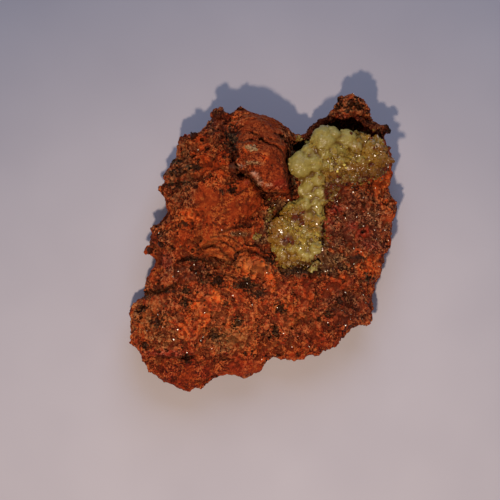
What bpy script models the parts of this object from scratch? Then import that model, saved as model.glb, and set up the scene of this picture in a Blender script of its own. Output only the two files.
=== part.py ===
"""Adamite on matrix: a rusty lump of limonite with a yellow-green adamite crust in its hollow.

Seen from above, +X is the specimen's right, +Y its far side, and +Z points up from the
surface that it rests on. Lists of points are in millimetres, and MM makes them metres.
The lump starts as a slab cut to the outline, which is pressed to the top and bottom relief,
roughened, split by clefts and cut flat where it rests. The crust is pressed in the same way
and carries lobes of crystals. The crust and the small buds are cut to fit the lump, with a
thin seat gap between them.
"""

import math
import random

import bmesh
import bpy
import numpy as np
from mathutils import Vector, noise

MM = 0.001

# Driving dimensions.
SLAB_HEIGHT = 24.0 * MM  # of the blank that the relief is pressed into
RIM_BLUNTNESS = 2.6 * MM  # height of the steep band round the outline
TOP_SHOULDER = 4.2 * MM  # how far in from the outline the top reaches its full relief
BELLY_SHOULDER = 12.0 * MM  # the same for the underside, which tucks in further
BELLY_DEPTH = -0.9 * MM  # how far the belly bulges below the plane that cuts it flat
SEAT_GAP = 0.33 * MM  # clearance between the crystals and the lump
VOXEL = 0.62 * MM  # grain of the lump's working mesh
CRUST_VOXEL = 0.4 * MM  # and of the crust's
MATRIX_FACES = 6000  # triangles kept on the lump before its clefts are cut
CRUST_FACES = 3100  # triangles kept on the crust before it is cut to fit
SPOT_REACH = 3.1 * MM  # how far a height spot carries
RIM_REACH = 8.0 * MM

# The outline as seen from above, clockwise from the knob at the far right.
OUTLINE = [
    (16.5, 29.8), (18.3, 29.6), (20.3, 28.2), (21.3, 27.0), (21.7, 25.6), (21.3, 24.6), (22.5, 24.2),
    (23.7, 23.6), (24.7, 21.8), (24.5, 20.8), (25.7, 18.6), (26.3, 16.0), (26.5, 13.2), (25.7, 10.0),
    (26.7, 9.4), (27.3, 7.8), (27.1, 5.8), (26.1, 1.4), (25.3, -1.6), (24.5, -4.0), (23.3, -7.6),
    (22.2, -11.2), (22.1, -13.7), (21.8, -15.7), (20.5, -16.9), (17.9, -18.0), (16.0, -20.3),
    (13.8, -21.5), (12.4, -21.9), (11.1, -22.6), (8.7, -22.8), (6.6, -24.1), (3.9, -23.8), (1.6, -23.1),
    (-0.1, -25.0), (-1.2, -26.5), (-2.6, -27.6), (-4.0, -27.6), (-6.6, -26.0), (-9.5, -27.8),
    (-11.5, -29.3), (-15.1, -30.6), (-18.5, -28.9), (-21.5, -27.4), (-23.4, -26.1), (-23.8, -23.9),
    (-24.9, -22.2), (-26.4, -19.5), (-27.0, -16.1), (-27.2, -13.9), (-26.4, -12.8), (-23.6, -11.0),
    (-23.8, -8.5), (-22.6, -6.6), (-21.8, -4.8), (-21.1, -3.2), (-22.9, -2.8), (-22.5, -0.2),
    (-22.5, 2.6), (-21.5, 4.2), (-19.3, 5.6), (-19.1, 6.6), (-20.1, 9.0), (-20.1, 11.0), (-19.5, 14.0),
    (-18.5, 16.4), (-16.9, 19.2), (-16.7, 20.8), (-15.7, 22.0), (-12.5, 22.2), (-10.7, 23.6),
    (-10.5, 26.0), (-8.9, 26.8), (-6.1, 25.6), (-4.3, 26.8), (-0.1, 25.6), (3.5, 24.0), (5.3, 23.0),
    (5.7, 21.8), (8.7, 21.6), (11.1, 24.2), (13.7, 25.6), (14.3, 27.6), (15.3, 29.0),
]

# Heights of the top above the resting flat, by region: (x, y, height). A smooth field is read
# between them.
TOP_SPOTS = {
    "raised slab": [
        (-7.5, 24.0, 17.5), (0.5, 22.6, 18.0), (-8.0, 18.0, 20.5), (-0.5, 18.0, 23.0),
        (3.4, 14.4, 22.5),
    ],
    "west block": [
        (-4.5, 10.0, 21.5), (-11.5, 10.0, 19.5), (-14.0, 4.4, 18.3), (-6.5, 3.4, 20.3),
        (-2.2, 4.0, 19.5),
    ],
    "west flank": [
        (-16.5, 16.4, 13.0), (-14.4, 20.4, 12.0), (-11.6, 20.6, 15.0), (-17.5, 9.4, 14.0),
        (-19.0, 1.4, 13.5), (-16.5, -2.6, 15.0),
    ],
    "shell ledges": [
        (-8.5, -1.8, 19.0), (-3.4, -1.6, 18.0), (-2.5, -5.0, 15.6), (-0.6, 0.2, 13.4),
        (-13.0, -6.6, 14.2), (-19.5, -6.6, 12.5),
    ],
    "lower block": [
        (-7.5, -11.0, 16.8), (-0.5, -11.6, 16.6), (-20.5, -15.6, 13.0), (-14.5, -17.6, 15.3),
        (-6.5, -19.6, 14.8),
    ],
    "near edge": [
        (-14.5, -25.6, 11.0), (-4.5, -24.2, 10.5), (5.5, -16.6, 15.3), (7.5, -20.8, 10.5),
        (13.5, -17.6, 12.5),
    ],
    "east field": [
        (19.0, -13.6, 12.5), (7.5, -8.6, 15.3), (14.5, -7.6, 14.5), (21.0, -5.6, 14.3),
        (16.5, -1.6, 13.2),
    ],
    "east rim": [
        (15.5, 5.4, 13.2), (21.0, 4.4, 14.3), (25.5, 5.4, 13.5), (16.5, 10.0, 13.6),
        (24.3, 11.4, 13.8),
    ],
    "hollow": [
        (7.5, 3.4, 14.0), (7.5, 14.4, 13.4), (15.5, 17.0, 13.2), (22.3, 16.8, 13.4),
        (7.5, 19.8, 11.8), (13.5, 22.4, 12.0), (9.8, 22.4, 13.4), (12.6, 24.6, 14.0),
        (3.0, 1.0, 12.8), (2.8, 5.4, 13.6), (1.0, -2.4, 13.4),
    ],
    "knob": [
        (17.5, 27.4, 17.0), (15.8, 26.0, 16.2), (20.1, 26.2, 15.4), (23.1, 22.6, 14.4),
    ],
}

# Heights of the widest line round the lump.
RIM_SPOTS = [
    (-5.0, 26.0, 13.0), (-19.0, 14.0, 9.0), (-22.0, 0.0, 8.0), (-27.0, -15.0, 7.0), (-15.0, -29.0, 5.5),
    (-2.0, -26.0, 5.5), (12.0, -20.0, 6.0), (22.0, -15.0, 7.0), (26.0, 0.0, 8.0), (26.0, 14.0, 9.0),
    (18.0, 29.0, 9.5), (8.0, 21.5, 9.5), (12.4, 24.8, 10.5),
]

# Broken edges: (rise, reach, path). The rock on the left of the path stands up by rise, and
# falls back over reach. A groove runs along the foot.
LEDGES = [
    (2.6, 9.0, [(-6.4, 20.4), (-5.8, 14.8), (-3.4, 13.2), (-0.8, 10.0), (0.6, 9.0), (6.2, 10.0)]),
    (3.4, 5.0, [(5.8, 9.8), (5.0, 12.4), (4.3, 16.2), (5.4, 18.8), (5.8, 22.6)]),
    (1.2, 3.5, [(-3.0, 21.8), (-0.4, 20.4), (1.8, 18.4), (4.0, 17.0)]),
    (0.9, 3.0, [(4.6, 16.2), (3.2, 13.6), (1.0, 12.0)]),
    (2.6, 7.0, [(-18.4, -6.2), (-14.6, -4.0), (-11.0, -2.7), (-9.0, -2.2), (-7.4, -3.2)]),
    (1.7, 5.0, [(-9.6, -4.8), (-8.0, -2.8), (-5.4, -3.4), (-4.2, -5.4)]),
    (2.2, 6.0, [(-5.0, -4.8), (-3.2, -3.2), (-0.6, -3.0), (0.8, -4.2), (1.4, -6.6)]),
    (0.9, 3.5, [(-13.6, -1.8), (-10.4, -0.1), (-8.2, -0.6), (-6.0, -2.2)]),
    (2.6, 5.0, [(-26.0, -12.4), (-22.0, -10.4), (-19.8, -9.6), (-16.4, -8.4)]),
    (2.4, 6.0, [(-25.0, -22.4), (-21.4, -23.2), (-18.4, -23.0), (-15.4, -24.6)]),
    (1.8, 3.0, [(-20.6, 16.6), (-16.4, 17.2), (-12.6, 16.2)]),
    (1.8, 3.0, [(-21.4, 13.0), (-16.6, 13.8), (-12.2, 13.2)]),
    (1.8, 3.0, [(-22.0, 9.4), (-17.4, 10.2), (-13.0, 9.6)]),
    (1.6, 3.0, [(-22.6, 5.2), (-17.0, 6.0), (-12.0, 6.6)]),
    (1.6, 4.0, [(1.0, -5.6), (4.6, -9.2), (8.6, -8.4), (12.4, -7.0), (18.0, -9.4)]),
    (1.6, 3.0, [(-9.0, -20.0), (-3.0, -18.2), (2.4, -20.4), (8.2, -18.2)]),
    (1.6, 4.0, [(19.0, 5.0), (20.8, -1.2), (19.4, -5.0), (17.0, -10.0)]),
    (1.8, 4.0, [(-23.6, -3.4), (-20.0, -1.6), (-18.2, 1.2), (-20.2, 5.0)]),
]
SLAB_MIDDLE = (-1.0 * MM, 14.5 * MM)  # of the smooth raised slab, whose lumps are lower
SLAB_REACH = 9.0 * MM
SLAB_SMOOTHNESS = 0.6  # share of the lumps' height that the slab lacks
GROOVE_DEPTH = 1.5 * MM
GROOVE_WIDTH = 0.85 * MM

# Gaps under the broken plates: (girth, path).
CLEFTS = [
    (1.0, [(-5.9, 17.6), (-5.5, 14.4), (-3.4, 12.8), (-1.0, 9.7), (0.6, 8.7), (4.4, 9.0)]),
    (1.1, [(-12.6, -3.8), (-10.6, -3.1), (-9.2, -3.0), (-8.2, -3.6), (-6.0, -3.9), (-4.6, -4.6)]),
    (0.8, [(-4.2, -5.0), (-2.8, -3.9), (-0.8, -3.7)]),
]
CLEFT_SINK = 0.3 * MM  # how far the middle of a cleft lies below the rock
FIT_REACH = 3.0 * MM  # how far in from the outline the sides move to meet it
FIT_STRETCHES = 260  # that the outline is divided into, each with its own move
FIT_EASING = 2  # rounds of averaging between neighbouring stretches
FIT_MARGIN = 0.25 * MM  # past the outline, because the rebuilding after it takes as much off again

# Open pits in the top: (x, y, radius, depth).
PITS = [
    (-21.1, -15.8, 1.0, 1.6), (-15.3, -11.8, 1.2, 2.0), (-4.9, -16.2, 0.8, 1.4), (-9.5, -18.6, 1.1, 1.5),
    (-9.3, -8.2, 0.9, 1.6), (-23.6, -20.6, 0.7, 1.2), (-15.0, -23.2, 1.1, 1.3), (3.2, -13.2, 0.9, 1.4),
    (2.7, -17.6, 0.7, 1.2), (-5.3, 18.4, 1.1, 1.6), (-5.9, 10.0, 0.8, 1.3), (-16.8, 6.0, 0.8, 1.2),
    (-13.4, 15.4, 1.0, 1.3), (-2.4, -8.8, 1.3, 1.2), (0.0, -9.8, 0.8, 1.2), (18.8, -10.4, 1.2, 1.4),
    (15.6, -14.8, 1.2, 1.3), (19.0, -7.6, 1.2, 1.3), (12.4, -4.8, 1.1, 1.2), (24.0, 2.0, 1.2, 1.2),
    (17.5, 8.8, 1.2, 1.2), (16.4, 5.8, 1.0, 1.1), (22.6, 8.6, 0.9, 1.0), (20.8, -12.6, 0.9, 1.1),
]

# Ellipsoids that open the dark undercut behind the crust: (x, y, z, radii, turn in degrees).
UNDERCUTS = [
    (11.7, 22.3, 12.0, (2.4, 1.0, 4.2), 42),
    (14.6, 23.2, 11.6, (3.2, 1.5, 5.2), 8),
    (17.8, 22.9, 11.6, (3.2, 1.6, 4.8), -6),
    (20.8, 22.0, 12.6, (2.4, 1.1, 3.6), -24),
    (7.6, 18.9, 11.6, (2.0, 1.1, 3.4), 12),
]

# The crust as seen from above, clockwise from its far left, and the heights of its own surface.
CRUST_OUTLINE = [
    (11.0, 22.4), (12.8, 22.7), (14.6, 21.9), (16.2, 21.8), (18.0, 22.2), (20.0, 21.6), (21.5, 20.6),
    (24.0, 19.4), (25.4, 16.8), (25.2, 13.8), (22.8, 12.6), (19.5, 11.6), (16.4, 10.6), (14.2, 9.0),
    (12.7, 6.9), (12.1, 4.4), (12.0, 0.6), (11.4, -2.1), (8.9, -3.6), (5.8, -4.2), (2.6, -3.2),
    (1.1, -1.6), (-0.4, -1.4), (-1.4, -0.2), (-0.8, 1.2), (1.0, 2.3), (2.6, 5.9), (4.8, 8.2),
    (6.4, 10.0), (5.8, 12.4), (5.5, 15.2), (6.1, 17.3), (8.3, 18.5), (9.5, 20.6),
]
CRUST_SPOTS = [
    (12.5, 20.2, 16.2), (8.2, 15.4, 16.4), (16.6, 19.6, 15.6), (21.8, 17.6, 15.2), (24.6, 15.6, 14.4),
    (19.0, 13.4, 14.6), (13.0, 13.4, 15.6), (9.0, 9.4, 15.2), (4.0, 3.0, 15.0), (8.0, 2.0, 15.8),
    (10.6, -1.6, 15.2), (5.0, -3.0, 14.6), (-0.8, 0.0, 16.6),
]
CRUST_ROOT = 12.4 * MM  # height of its underside, which the lump cuts away
CRUST_SHOULDER = 2.2 * MM

# Lobes that stand out of the crust: (x, y, height of the lobe's crown, radius).
FAR_LOBES = [
    (12.5, 20.2, 18.0, 3.2), (8.5, 15.6, 18.0, 3.0), (9.2, 17.6, 16.8, 1.8), (16.4, 20.4, 16.8, 1.9),
    (15.2, 17.8, 17.2, 2.2), (12.0, 16.6, 17.6, 2.3), (18.9, 19.0, 16.8, 2.0), (21.8, 18.4, 16.6, 2.0),
    (23.8, 16.6, 15.8, 1.5), (17.6, 15.8, 16.4, 1.9), (20.4, 15.9, 16.2, 1.9), (14.0, 14.0, 16.8, 2.0),
    (10.6, 12.8, 17.2, 2.3), (22.8, 14.4, 15.6, 1.5), (16.6, 12.8, 15.8, 1.5), (19.4, 12.9, 15.4, 1.3),
    (7.2, 13.0, 17.0, 1.7), (13.0, 11.2, 16.2, 1.6),
]
WAIST_LOBES = [(8.2, 10.2, 16.8, 2.0), (11.2, 9.4, 16.6, 1.9), (8.4, 7.2, 16.8, 2.0), (10.9, 6.6, 16.2, 1.6)]
NEAR_LOBES = [
    (5.4, 6.2, 16.2, 1.7), (7.2, 4.2, 17.0, 2.0), (4.2, 3.4, 16.6, 1.9), (2.9, 1.2, 16.2, 1.5),
    (5.6, 1.0, 17.0, 2.2), (8.8, 1.6, 17.2, 2.3), (10.7, 3.4, 16.4, 1.6), (10.2, -0.9, 17.0, 1.7),
    (7.6, -1.8, 17.0, 1.9), (4.6, -1.8, 16.4, 1.7), (2.9, -1.4, 15.6, 1.2), (5.2, -3.3, 15.6, 1.2),
    (0.9, 0.4, 16.8, 1.1), (-0.5, -0.3, 17.4, 1.1),
]
# Small buds that grew apart from the crust: (x, y, how far the crown stands off the rock, radius).
BUDS = {
    "adamite_bud_south": [(10.1, -5.0, 1.3, 1.0), (10.7, -4.3, 1.1, 0.8), (9.5, -5.7, 1.0, 0.7)],
    "adamite_bud_north": [(-3.1, 18.4, 1.0, 0.8), (-2.3, 18.2, 1.1, 0.8), (-1.4, 18.0, 1.0, 0.7)],
}
LOBE_UNEVENNESS = 0.1  # how far a lobe's corners stray, as a share of its radius


def material(name, colour, roughness, transmission=0.0):
    """A Principled surface. The colour is linear red, green and blue."""
    made = bpy.data.materials.new(name)
    made.use_nodes = True
    shader = made.node_tree.nodes["Principled BSDF"]
    shader.inputs["Base Color"].default_value = (*colour, 1.0)
    shader.inputs["Roughness"].default_value = roughness
    shader.inputs["Transmission Weight"].default_value = transmission
    return made


def add_mesh(name, mesh, collection):
    """An object that holds the mesh, in the collection."""
    obj = bpy.data.objects.new(name, mesh)
    collection.objects.link(obj)
    return obj


def settle(obj):
    """Replaces an object's mesh by the one that its modifiers make."""
    bpy.context.view_layer.update()
    evaluated = obj.evaluated_get(bpy.context.evaluated_depsgraph_get())
    obj.data = bpy.data.meshes.new_from_object(evaluated)
    obj.modifiers.clear()


def remesh(obj, voxel):
    """Rebuilds the surface as even quads, which also joins what overlaps."""
    modifier = obj.modifiers.new("Even quads", "REMESH")
    modifier.mode = "VOXEL"
    modifier.voxel_size = voxel
    settle(obj)


def combine(obj, other, operation):
    """A Boolean with one other mesh object, applied."""
    modifier = obj.modifiers.new("Combine", "BOOLEAN")
    modifier.operation = operation
    modifier.object = other
    settle(obj)


def keep_largest_piece(mesh):
    """Deletes the chips that a Boolean leaves apart from the main body."""
    body = bmesh.new()
    body.from_mesh(mesh)
    unseen = set(body.verts)
    pieces = []
    while unseen:
        piece = {unseen.pop()}
        edge_of_search = list(piece)
        while edge_of_search:
            vertex = edge_of_search.pop()
            linked = {edge.other_vert(vertex) for edge in vertex.link_edges} & unseen
            unseen -= linked
            piece |= linked
            edge_of_search.extend(linked)
        pieces.append(piece)
    largest = max(pieces, key=len)
    chips = [vertex for vertex in body.verts if vertex not in largest]
    bmesh.ops.delete(body, geom=chips, context="VERTS")
    body.to_mesh(mesh)
    body.free()


def points_of(mesh):
    """The mesh's vertices as an array with a row for each."""
    flat = np.empty(len(mesh.vertices) * 3)
    mesh.vertices.foreach_get("co", flat)
    return flat.reshape(-1, 3)


def move_points(mesh, points):
    mesh.vertices.foreach_set("co", points.ravel())
    mesh.update()


def near_path(points, path, closed=False):
    """For each point: its distance to the path, its side (1 on the left) and its place along it, 0 to 1."""
    path = np.array(path) * MM
    starts = path if closed else path[:-1]
    ends = np.roll(path, -1, axis=0) if closed else path[1:]
    runs = ends - starts
    offsets = points[:, None, :2] - starts
    share = np.clip((offsets * runs).sum(2) / (runs**2).sum(1), 0, 1)
    gaps = offsets - share[:, :, None] * runs
    distances = np.hypot(gaps[:, :, 0], gaps[:, :, 1])
    nearest = distances.argmin(1)
    rows = np.arange(len(points))
    turn = runs[nearest, 0] * offsets[rows, nearest, 1] - runs[nearest, 1] * offsets[rows, nearest, 0]
    along = (nearest + share[rows, nearest]) / len(runs)
    return distances[rows, nearest], np.sign(turn), along


def smooth_field(points, spots, reach):
    """Heights read smoothly between named spots, nearer spots counting more."""
    spots = np.array(spots) * MM
    gaps = points[:, None, :2] - spots[:, :2]
    closeness = -(gaps**2).sum(2) / (2 * reach**2)
    weights = np.exp(closeness - closeness.max(1, keepdims=True))
    return (weights * spots[:, 2]).sum(1) / weights.sum(1)


def quarter_round(share):
    """Rises steeply from 0, and levels out at 1, as a rounded shoulder does."""
    share = np.clip(share, 0, 1)
    return np.sqrt(1 - (1 - share) ** 2)


def rough(points, size, strength, octaves=4):
    """Fractal noise at each point, of about the given grain size and strength."""
    return np.array([noise.fractal(Vector(p) / size, 0.9, 2.1, octaves) for p in points]) * strength


def knobbly(points, size, strength):
    """Rounded lumps packed side by side, as on a botryoidal crust."""
    nearest = np.array([noise.voronoi(Vector(p) / size)[0][0] for p in points])
    return (0.5 - nearest) * strength


def cobbled(points, size, strength):
    """Blunt lumps with a crease between them, as on broken, weathered rock."""
    creases = []
    for point in points:
        first, second = noise.voronoi(Vector(point) / size)[0][:2]
        creases.append(second - first)
    return (np.minimum(np.array(creases) / 0.45, 1) ** 0.5 - 0.8) * strength


def ledge_relief(points):
    """Steps in the top along the broken edges, with a groove at each foot."""
    relief = np.zeros(len(points))
    for rise, reach, path in LEDGES:
        distance, side, along = near_path(points, path)
        fade = np.sin(math.pi * np.clip(along, 0, 1)) ** 0.35
        step = rise * MM * np.exp(-distance / (reach * MM))
        groove = GROOVE_DEPTH * np.exp(-((distance / GROOVE_WIDTH) ** 2))
        relief += fade * np.where(side > 0, step, -groove)
    return relief


def pit_relief(points):
    """Hollows with a soft lip."""
    relief = np.zeros(len(points))
    for x, y, radius, depth in PITS:
        away = np.hypot(points[:, 0] - x * MM, points[:, 1] - y * MM) / (radius * MM)
        relief -= depth * MM * np.exp(-(away**2))
    return relief


def top_height(points, inset):
    """Height of the top at each point, which lies inset metres inside the outline."""
    rim = smooth_field(points, RIM_SPOTS, RIM_REACH) + RIM_BLUNTNESS / 2
    spots = [spot for region in TOP_SPOTS.values() for spot in region]
    crown = smooth_field(points, spots, SPOT_REACH) + pit_relief(points)
    return rim + (crown - rim) * quarter_round(inset / TOP_SHOULDER)


def belly_height(points, inset):
    """Height of the underside at each point."""
    rim = smooth_field(points, RIM_SPOTS, RIM_REACH) - RIM_BLUNTNESS / 2
    flat_points = points * (1, 1, 0)
    belly = BELLY_DEPTH + rough(flat_points, 13 * MM, 1.1 * MM) + knobbly(flat_points, 6 * MM, 0.9 * MM)
    return rim + (belly - rim) * quarter_round(inset / BELLY_SHOULDER)


def solid_from_curve(name, curve, collection):
    """A closed mesh of the curve's filled shape."""
    guide = add_mesh("guide", curve, collection)
    bpy.context.view_layer.update()
    mesh = bpy.data.meshes.new_from_object(guide.evaluated_get(bpy.context.evaluated_depsgraph_get()))
    bpy.data.objects.remove(guide)
    body = bmesh.new()
    body.from_mesh(mesh)
    bmesh.ops.remove_doubles(body, verts=body.verts, dist=0.00001)
    bmesh.ops.recalc_face_normals(body, faces=body.faces)
    body.to_mesh(mesh)
    body.free()
    return add_mesh(name, mesh, collection)


def outline_slab(name, outline, collection):
    """A flat blank, centred on Z = 0: the outline filled and given its height."""
    curve = bpy.data.curves.new(name, "CURVE")
    curve.dimensions = "2D"
    curve.fill_mode = "BOTH"
    curve.extrude = SLAB_HEIGHT / 2
    spline = curve.splines.new("POLY")
    spline.points.add(len(outline) - 1)
    for point, (x, y) in zip(spline.points, outline):
        point.co = (x * MM, y * MM, 0, 1)
    spline.use_cyclic_u = True
    return solid_from_curve(name, curve, collection)


def cleft_cutter(number, girth, path, rock, collection):
    """A four-sided tube that follows the path along the rock, and pinches out at both ends."""
    curve = bpy.data.curves.new("cleft", "CURVE")
    curve.dimensions = "3D"
    curve.bevel_depth = girth * MM
    curve.bevel_resolution = 0
    curve.use_fill_caps = True
    spline = curve.splines.new("POLY")
    spline.points.add(len(path) - 1)
    for step, (x, y) in enumerate(path):
        hit, spot, _, _ = rock.ray_cast(Vector((x * MM, y * MM, 1)), Vector((0, 0, -1)))
        spline.points[step].co = (spot.x, spot.y, spot.z - CLEFT_SINK, 1)
        spline.points[step].radius = 0.35 + 0.65 * math.sin(math.pi * step / (len(path) - 1)) ** 0.5
    return solid_from_curve(f"cleft {number}", curve, collection)


def press(mesh, low, high):
    """Moves each point of a blank up or down, so that its faces come to the low and the high relief."""
    points = points_of(mesh)
    share = points[:, 2] / SLAB_HEIGHT + 0.5
    points[:, 2] = low + share * (high - low)
    move_points(mesh, points)


def normals_of(mesh):
    return np.array([vertex.normal for vertex in mesh.vertices])


def swell(mesh, push):
    """Moves each point along its normal by its own amount."""
    move_points(mesh, points_of(mesh) + normals_of(mesh) * push[:, None])


def break_edges(mesh):
    """Lifts the broken edges out of the top, and leaves the sides and the underside alone."""
    points = points_of(mesh)
    inset = near_path(points, OUTLINE, closed=True)[0]
    upward = np.clip(normals_of(mesh)[:, 2] * 2, 0, 1)
    points[:, 2] += ledge_relief(points) * upward * quarter_round(inset / TOP_SHOULDER)
    move_points(mesh, points)


def meet_outline(mesh):
    """Moves the sides in or out, so that the lump seen from above fills its outline again."""
    points = points_of(mesh)
    corners = np.array(OUTLINE) * MM
    runs = np.roll(corners, -1, axis=0) - corners
    outward = np.stack([-runs[:, 1], runs[:, 0]], axis=1) / np.hypot(*runs.T)[:, None]
    distance, side, along = near_path(points, OUTLINE, closed=True)
    inset = -side * distance
    stretch = (along * FIT_STRETCHES).astype(int) % FIT_STRETCHES
    gap = np.full(FIT_STRETCHES, np.inf)
    np.minimum.at(gap, stretch, inset)
    known = np.flatnonzero(np.isfinite(gap))
    gap = np.interp(np.arange(FIT_STRETCHES), known, gap[known])
    for _ in range(FIT_EASING):
        gap = (np.roll(gap, 1) + 2 * gap + np.roll(gap, -1)) / 4
    edge = (along * len(runs)).astype(int) % len(runs)
    closeness = np.clip(1 - inset / FIT_REACH, 0, 1)
    points[:, :2] += outward[edge] * ((gap[stretch] + FIT_MARGIN) * closeness)[:, None]
    move_points(mesh, points)


def ellipsoid(name, place, radii, turn, detail, collection):
    """A faceted ball stretched to its radii, turned and put in place."""
    bpy.ops.mesh.primitive_ico_sphere_add(subdivisions=detail, radius=1, location=place, rotation=turn)
    made = bpy.context.object
    made.name = name
    made.scale = radii
    for owner in list(made.users_collection):
        owner.objects.unlink(made)
    collection.objects.link(made)
    bpy.ops.object.transform_apply(location=True, rotation=True, scale=True)
    return made


def crystal_lobe(name, lobe, detail, dice, collection):
    """A faceted, uneven ball. A lobe is (x, y, crown height, radius), in millimetres."""
    x, y, crown, radius = lobe
    place = Vector((x, y, crown - radius)) * MM
    turn = [dice.uniform(0, math.tau) for _ in range(3)]
    ball = ellipsoid(name, place, [radius * MM] * 3, turn, detail, collection)
    for vertex in ball.data.vertices:
        uneven = 1 + dice.uniform(-LOBE_UNEVENNESS, LOBE_UNEVENNESS)
        vertex.co = place + (vertex.co - place) * uneven
    return ball


def make_bud(name, lobes, seed, collection):
    """A few small lobes joined into one solid."""
    dice = random.Random(seed)
    bud, *others = [crystal_lobe(f"{name} lobe", lobe, 1, dice, collection) for lobe in lobes]
    for other in others:
        combine(bud, other, "UNION")
        bpy.data.objects.remove(other)
    bud.name = name
    return bud


def make_crust(collection):
    """The crust: its outline pressed to its own relief, with all its lobes grown into it."""
    crust = outline_slab("adamite_crust", CRUST_OUTLINE, collection)
    remesh(crust, CRUST_VOXEL)
    points = points_of(crust.data)
    inset = near_path(points, CRUST_OUTLINE, closed=True)[0]
    surface = smooth_field(points, CRUST_SPOTS, SPOT_REACH)
    high = surface - CRUST_SHOULDER * (1 - quarter_round(inset / CRUST_SHOULDER))
    press(crust.data, CRUST_ROOT, high)
    dice = random.Random(7)
    for number, lobe in enumerate(FAR_LOBES + WAIST_LOBES + NEAR_LOBES):
        ball = crystal_lobe(f"lobe {number}", lobe, 2, dice, collection)
        combine(crust, ball, "UNION")
        bpy.data.objects.remove(ball)
    remesh(crust, CRUST_VOXEL)
    points = points_of(crust.data)
    swell(crust.data, knobbly(points, 1.9 * MM, 0.7 * MM) + knobbly(points, 0.9 * MM, 0.25 * MM))
    remesh(crust, CRUST_VOXEL)
    thin_out(crust, CRUST_FACES)
    return crust


def standing_on(lobes, rock):
    """The same lobes with their crowns counted from the plane at Z = 0, and not from the rock under them."""
    placed = []
    for x, y, crown, radius in lobes:
        hit, spot, _, _ = rock.ray_cast(Vector((x * MM, y * MM, 1)), Vector((0, 0, -1)))
        placed.append((x, y, spot.z / MM + crown, radius))
    return placed


def cut_to_fit(mass, rock):
    """Cuts the crystals' roots off where the rock is, with the rock shifted each way by the seat gap."""
    for shift in ((0, 0, 1), (1, 0, 0), (-1, 0, 0), (0, 1, 0), (0, -1, 0)):
        rock.location = Vector(shift) * SEAT_GAP
        combine(mass, rock, "DIFFERENCE")
    rock.location = (0, 0, 0)
    keep_largest_piece(mass.data)


def thin_out(obj, faces):
    """Merges the smallest edges until about this many triangles are left."""
    obj.data.calc_loop_triangles()
    modifier = obj.modifiers.new("Fewer faces", "DECIMATE")
    modifier.ratio = min(1.0, faces / len(obj.data.loop_triangles))
    modifier.use_collapse_triangulate = True
    settle(obj)


def make_matrix(collection, cutters):
    """The lump of rock."""
    lump = outline_slab("matrix", OUTLINE, collection)
    remesh(lump, VOXEL)
    points = points_of(lump.data)
    inset = near_path(points, OUTLINE, closed=True)[0]
    press(lump.data, belly_height(points, inset), top_height(points, inset))
    remesh(lump, VOXEL)
    points = points_of(lump.data)
    lumps = cobbled(points, 5.2 * MM, 1.3 * MM) + cobbled(points, 2.6 * MM, 0.6 * MM)
    upward = np.clip(normals_of(lump.data)[:, 2] * 2, 0, 1)
    away_from_slab = np.hypot(points[:, 0] - SLAB_MIDDLE[0], points[:, 1] - SLAB_MIDDLE[1]) / SLAB_REACH
    lumps *= 1 - SLAB_SMOOTHNESS * upward * np.clip(1.5 - away_from_slab, 0, 1)
    swell(lump.data, lumps + rough(points, 6.0 * MM, 0.7 * MM) + knobbly(points, 1.7 * MM, 0.4 * MM))
    remesh(lump, VOXEL)
    break_edges(lump.data)
    remesh(lump, VOXEL)
    meet_outline(lump.data)
    remesh(lump, VOXEL)
    for number, (x, y, z, radii, turn) in enumerate(UNDERCUTS):
        place = Vector((x, y, z)) * MM
        radii = [radius * MM for radius in radii]
        hole = ellipsoid(f"undercut {number}", place, radii, (0, 0, math.radians(turn)), 3, cutters)
        combine(lump, hole, "DIFFERENCE")
        bpy.data.objects.remove(hole)
    remesh(lump, VOXEL)
    thin_out(lump, MATRIX_FACES)
    for number, (girth, path) in enumerate(CLEFTS):
        cleft = cleft_cutter(number, girth, path, lump, cutters)
        combine(lump, cleft, "DIFFERENCE")
        bpy.data.objects.remove(cleft)
    bpy.ops.mesh.primitive_cube_add(size=1, location=(0, 0, -0.5))
    floor = bpy.context.object
    combine(lump, floor, "DIFFERENCE")
    bpy.data.objects.remove(floor)
    keep_largest_piece(lump.data)
    return lump


def centre_on(rock, objects):
    """Shifts the objects sideways, so that the middle of the rock's box comes over the origin."""
    points = points_of(rock.data)
    middle = (points.min(0) + points.max(0)) / 2 * (1, 1, 0)
    for obj in objects:
        move_points(obj.data, points_of(obj.data) - middle)


def main():
    for obj in list(bpy.data.objects):
        bpy.data.objects.remove(obj)
    specimen = bpy.data.collections.new("adamite specimen")
    cutters = bpy.data.collections.new("cutters")
    for collection in (specimen, cutters):
        bpy.context.scene.collection.children.link(collection)

    matrix = make_matrix(specimen, cutters)
    crystals = [make_crust(specimen)]
    for seed, (name, lobes) in enumerate(BUDS.items()):
        crystals.append(make_bud(name, standing_on(lobes, matrix), seed, specimen))
    adamite = material("adamite", (0.42, 0.43, 0.14), 0.25, transmission=0.5)
    for mass in crystals:
        cut_to_fit(mass, matrix)
        mass.data.materials.clear()
        mass.data.materials.append(adamite)
    matrix.data.materials.clear()
    matrix.data.materials.append(material("limonite", (0.19, 0.045, 0.015), 0.85))
    centre_on(matrix, [matrix, *crystals])


main()
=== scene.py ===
# %% [markdown]
# # Adamite on matrix
#
# The real thing is a broken lump of limonite, about 55 mm across: rusty iron oxides and
# hydroxides, earthy in some places and granular in others. In a hollow of its top sits a
# crust of adamite, a zinc mineral whose clear yellow-green crystals grow in rounded groups.
#
# The construction model already has the large shapes. This lesson gives them their surface:
# the view and the light, the fine relief of the lump, its colours and grains, the crust with
# its lobes, and last the single crystals, the dust and the rust that stand on it.

# %% Load the construction model
import math

import bpy
import numpy as np
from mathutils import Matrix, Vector, kdtree, noise


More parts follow.
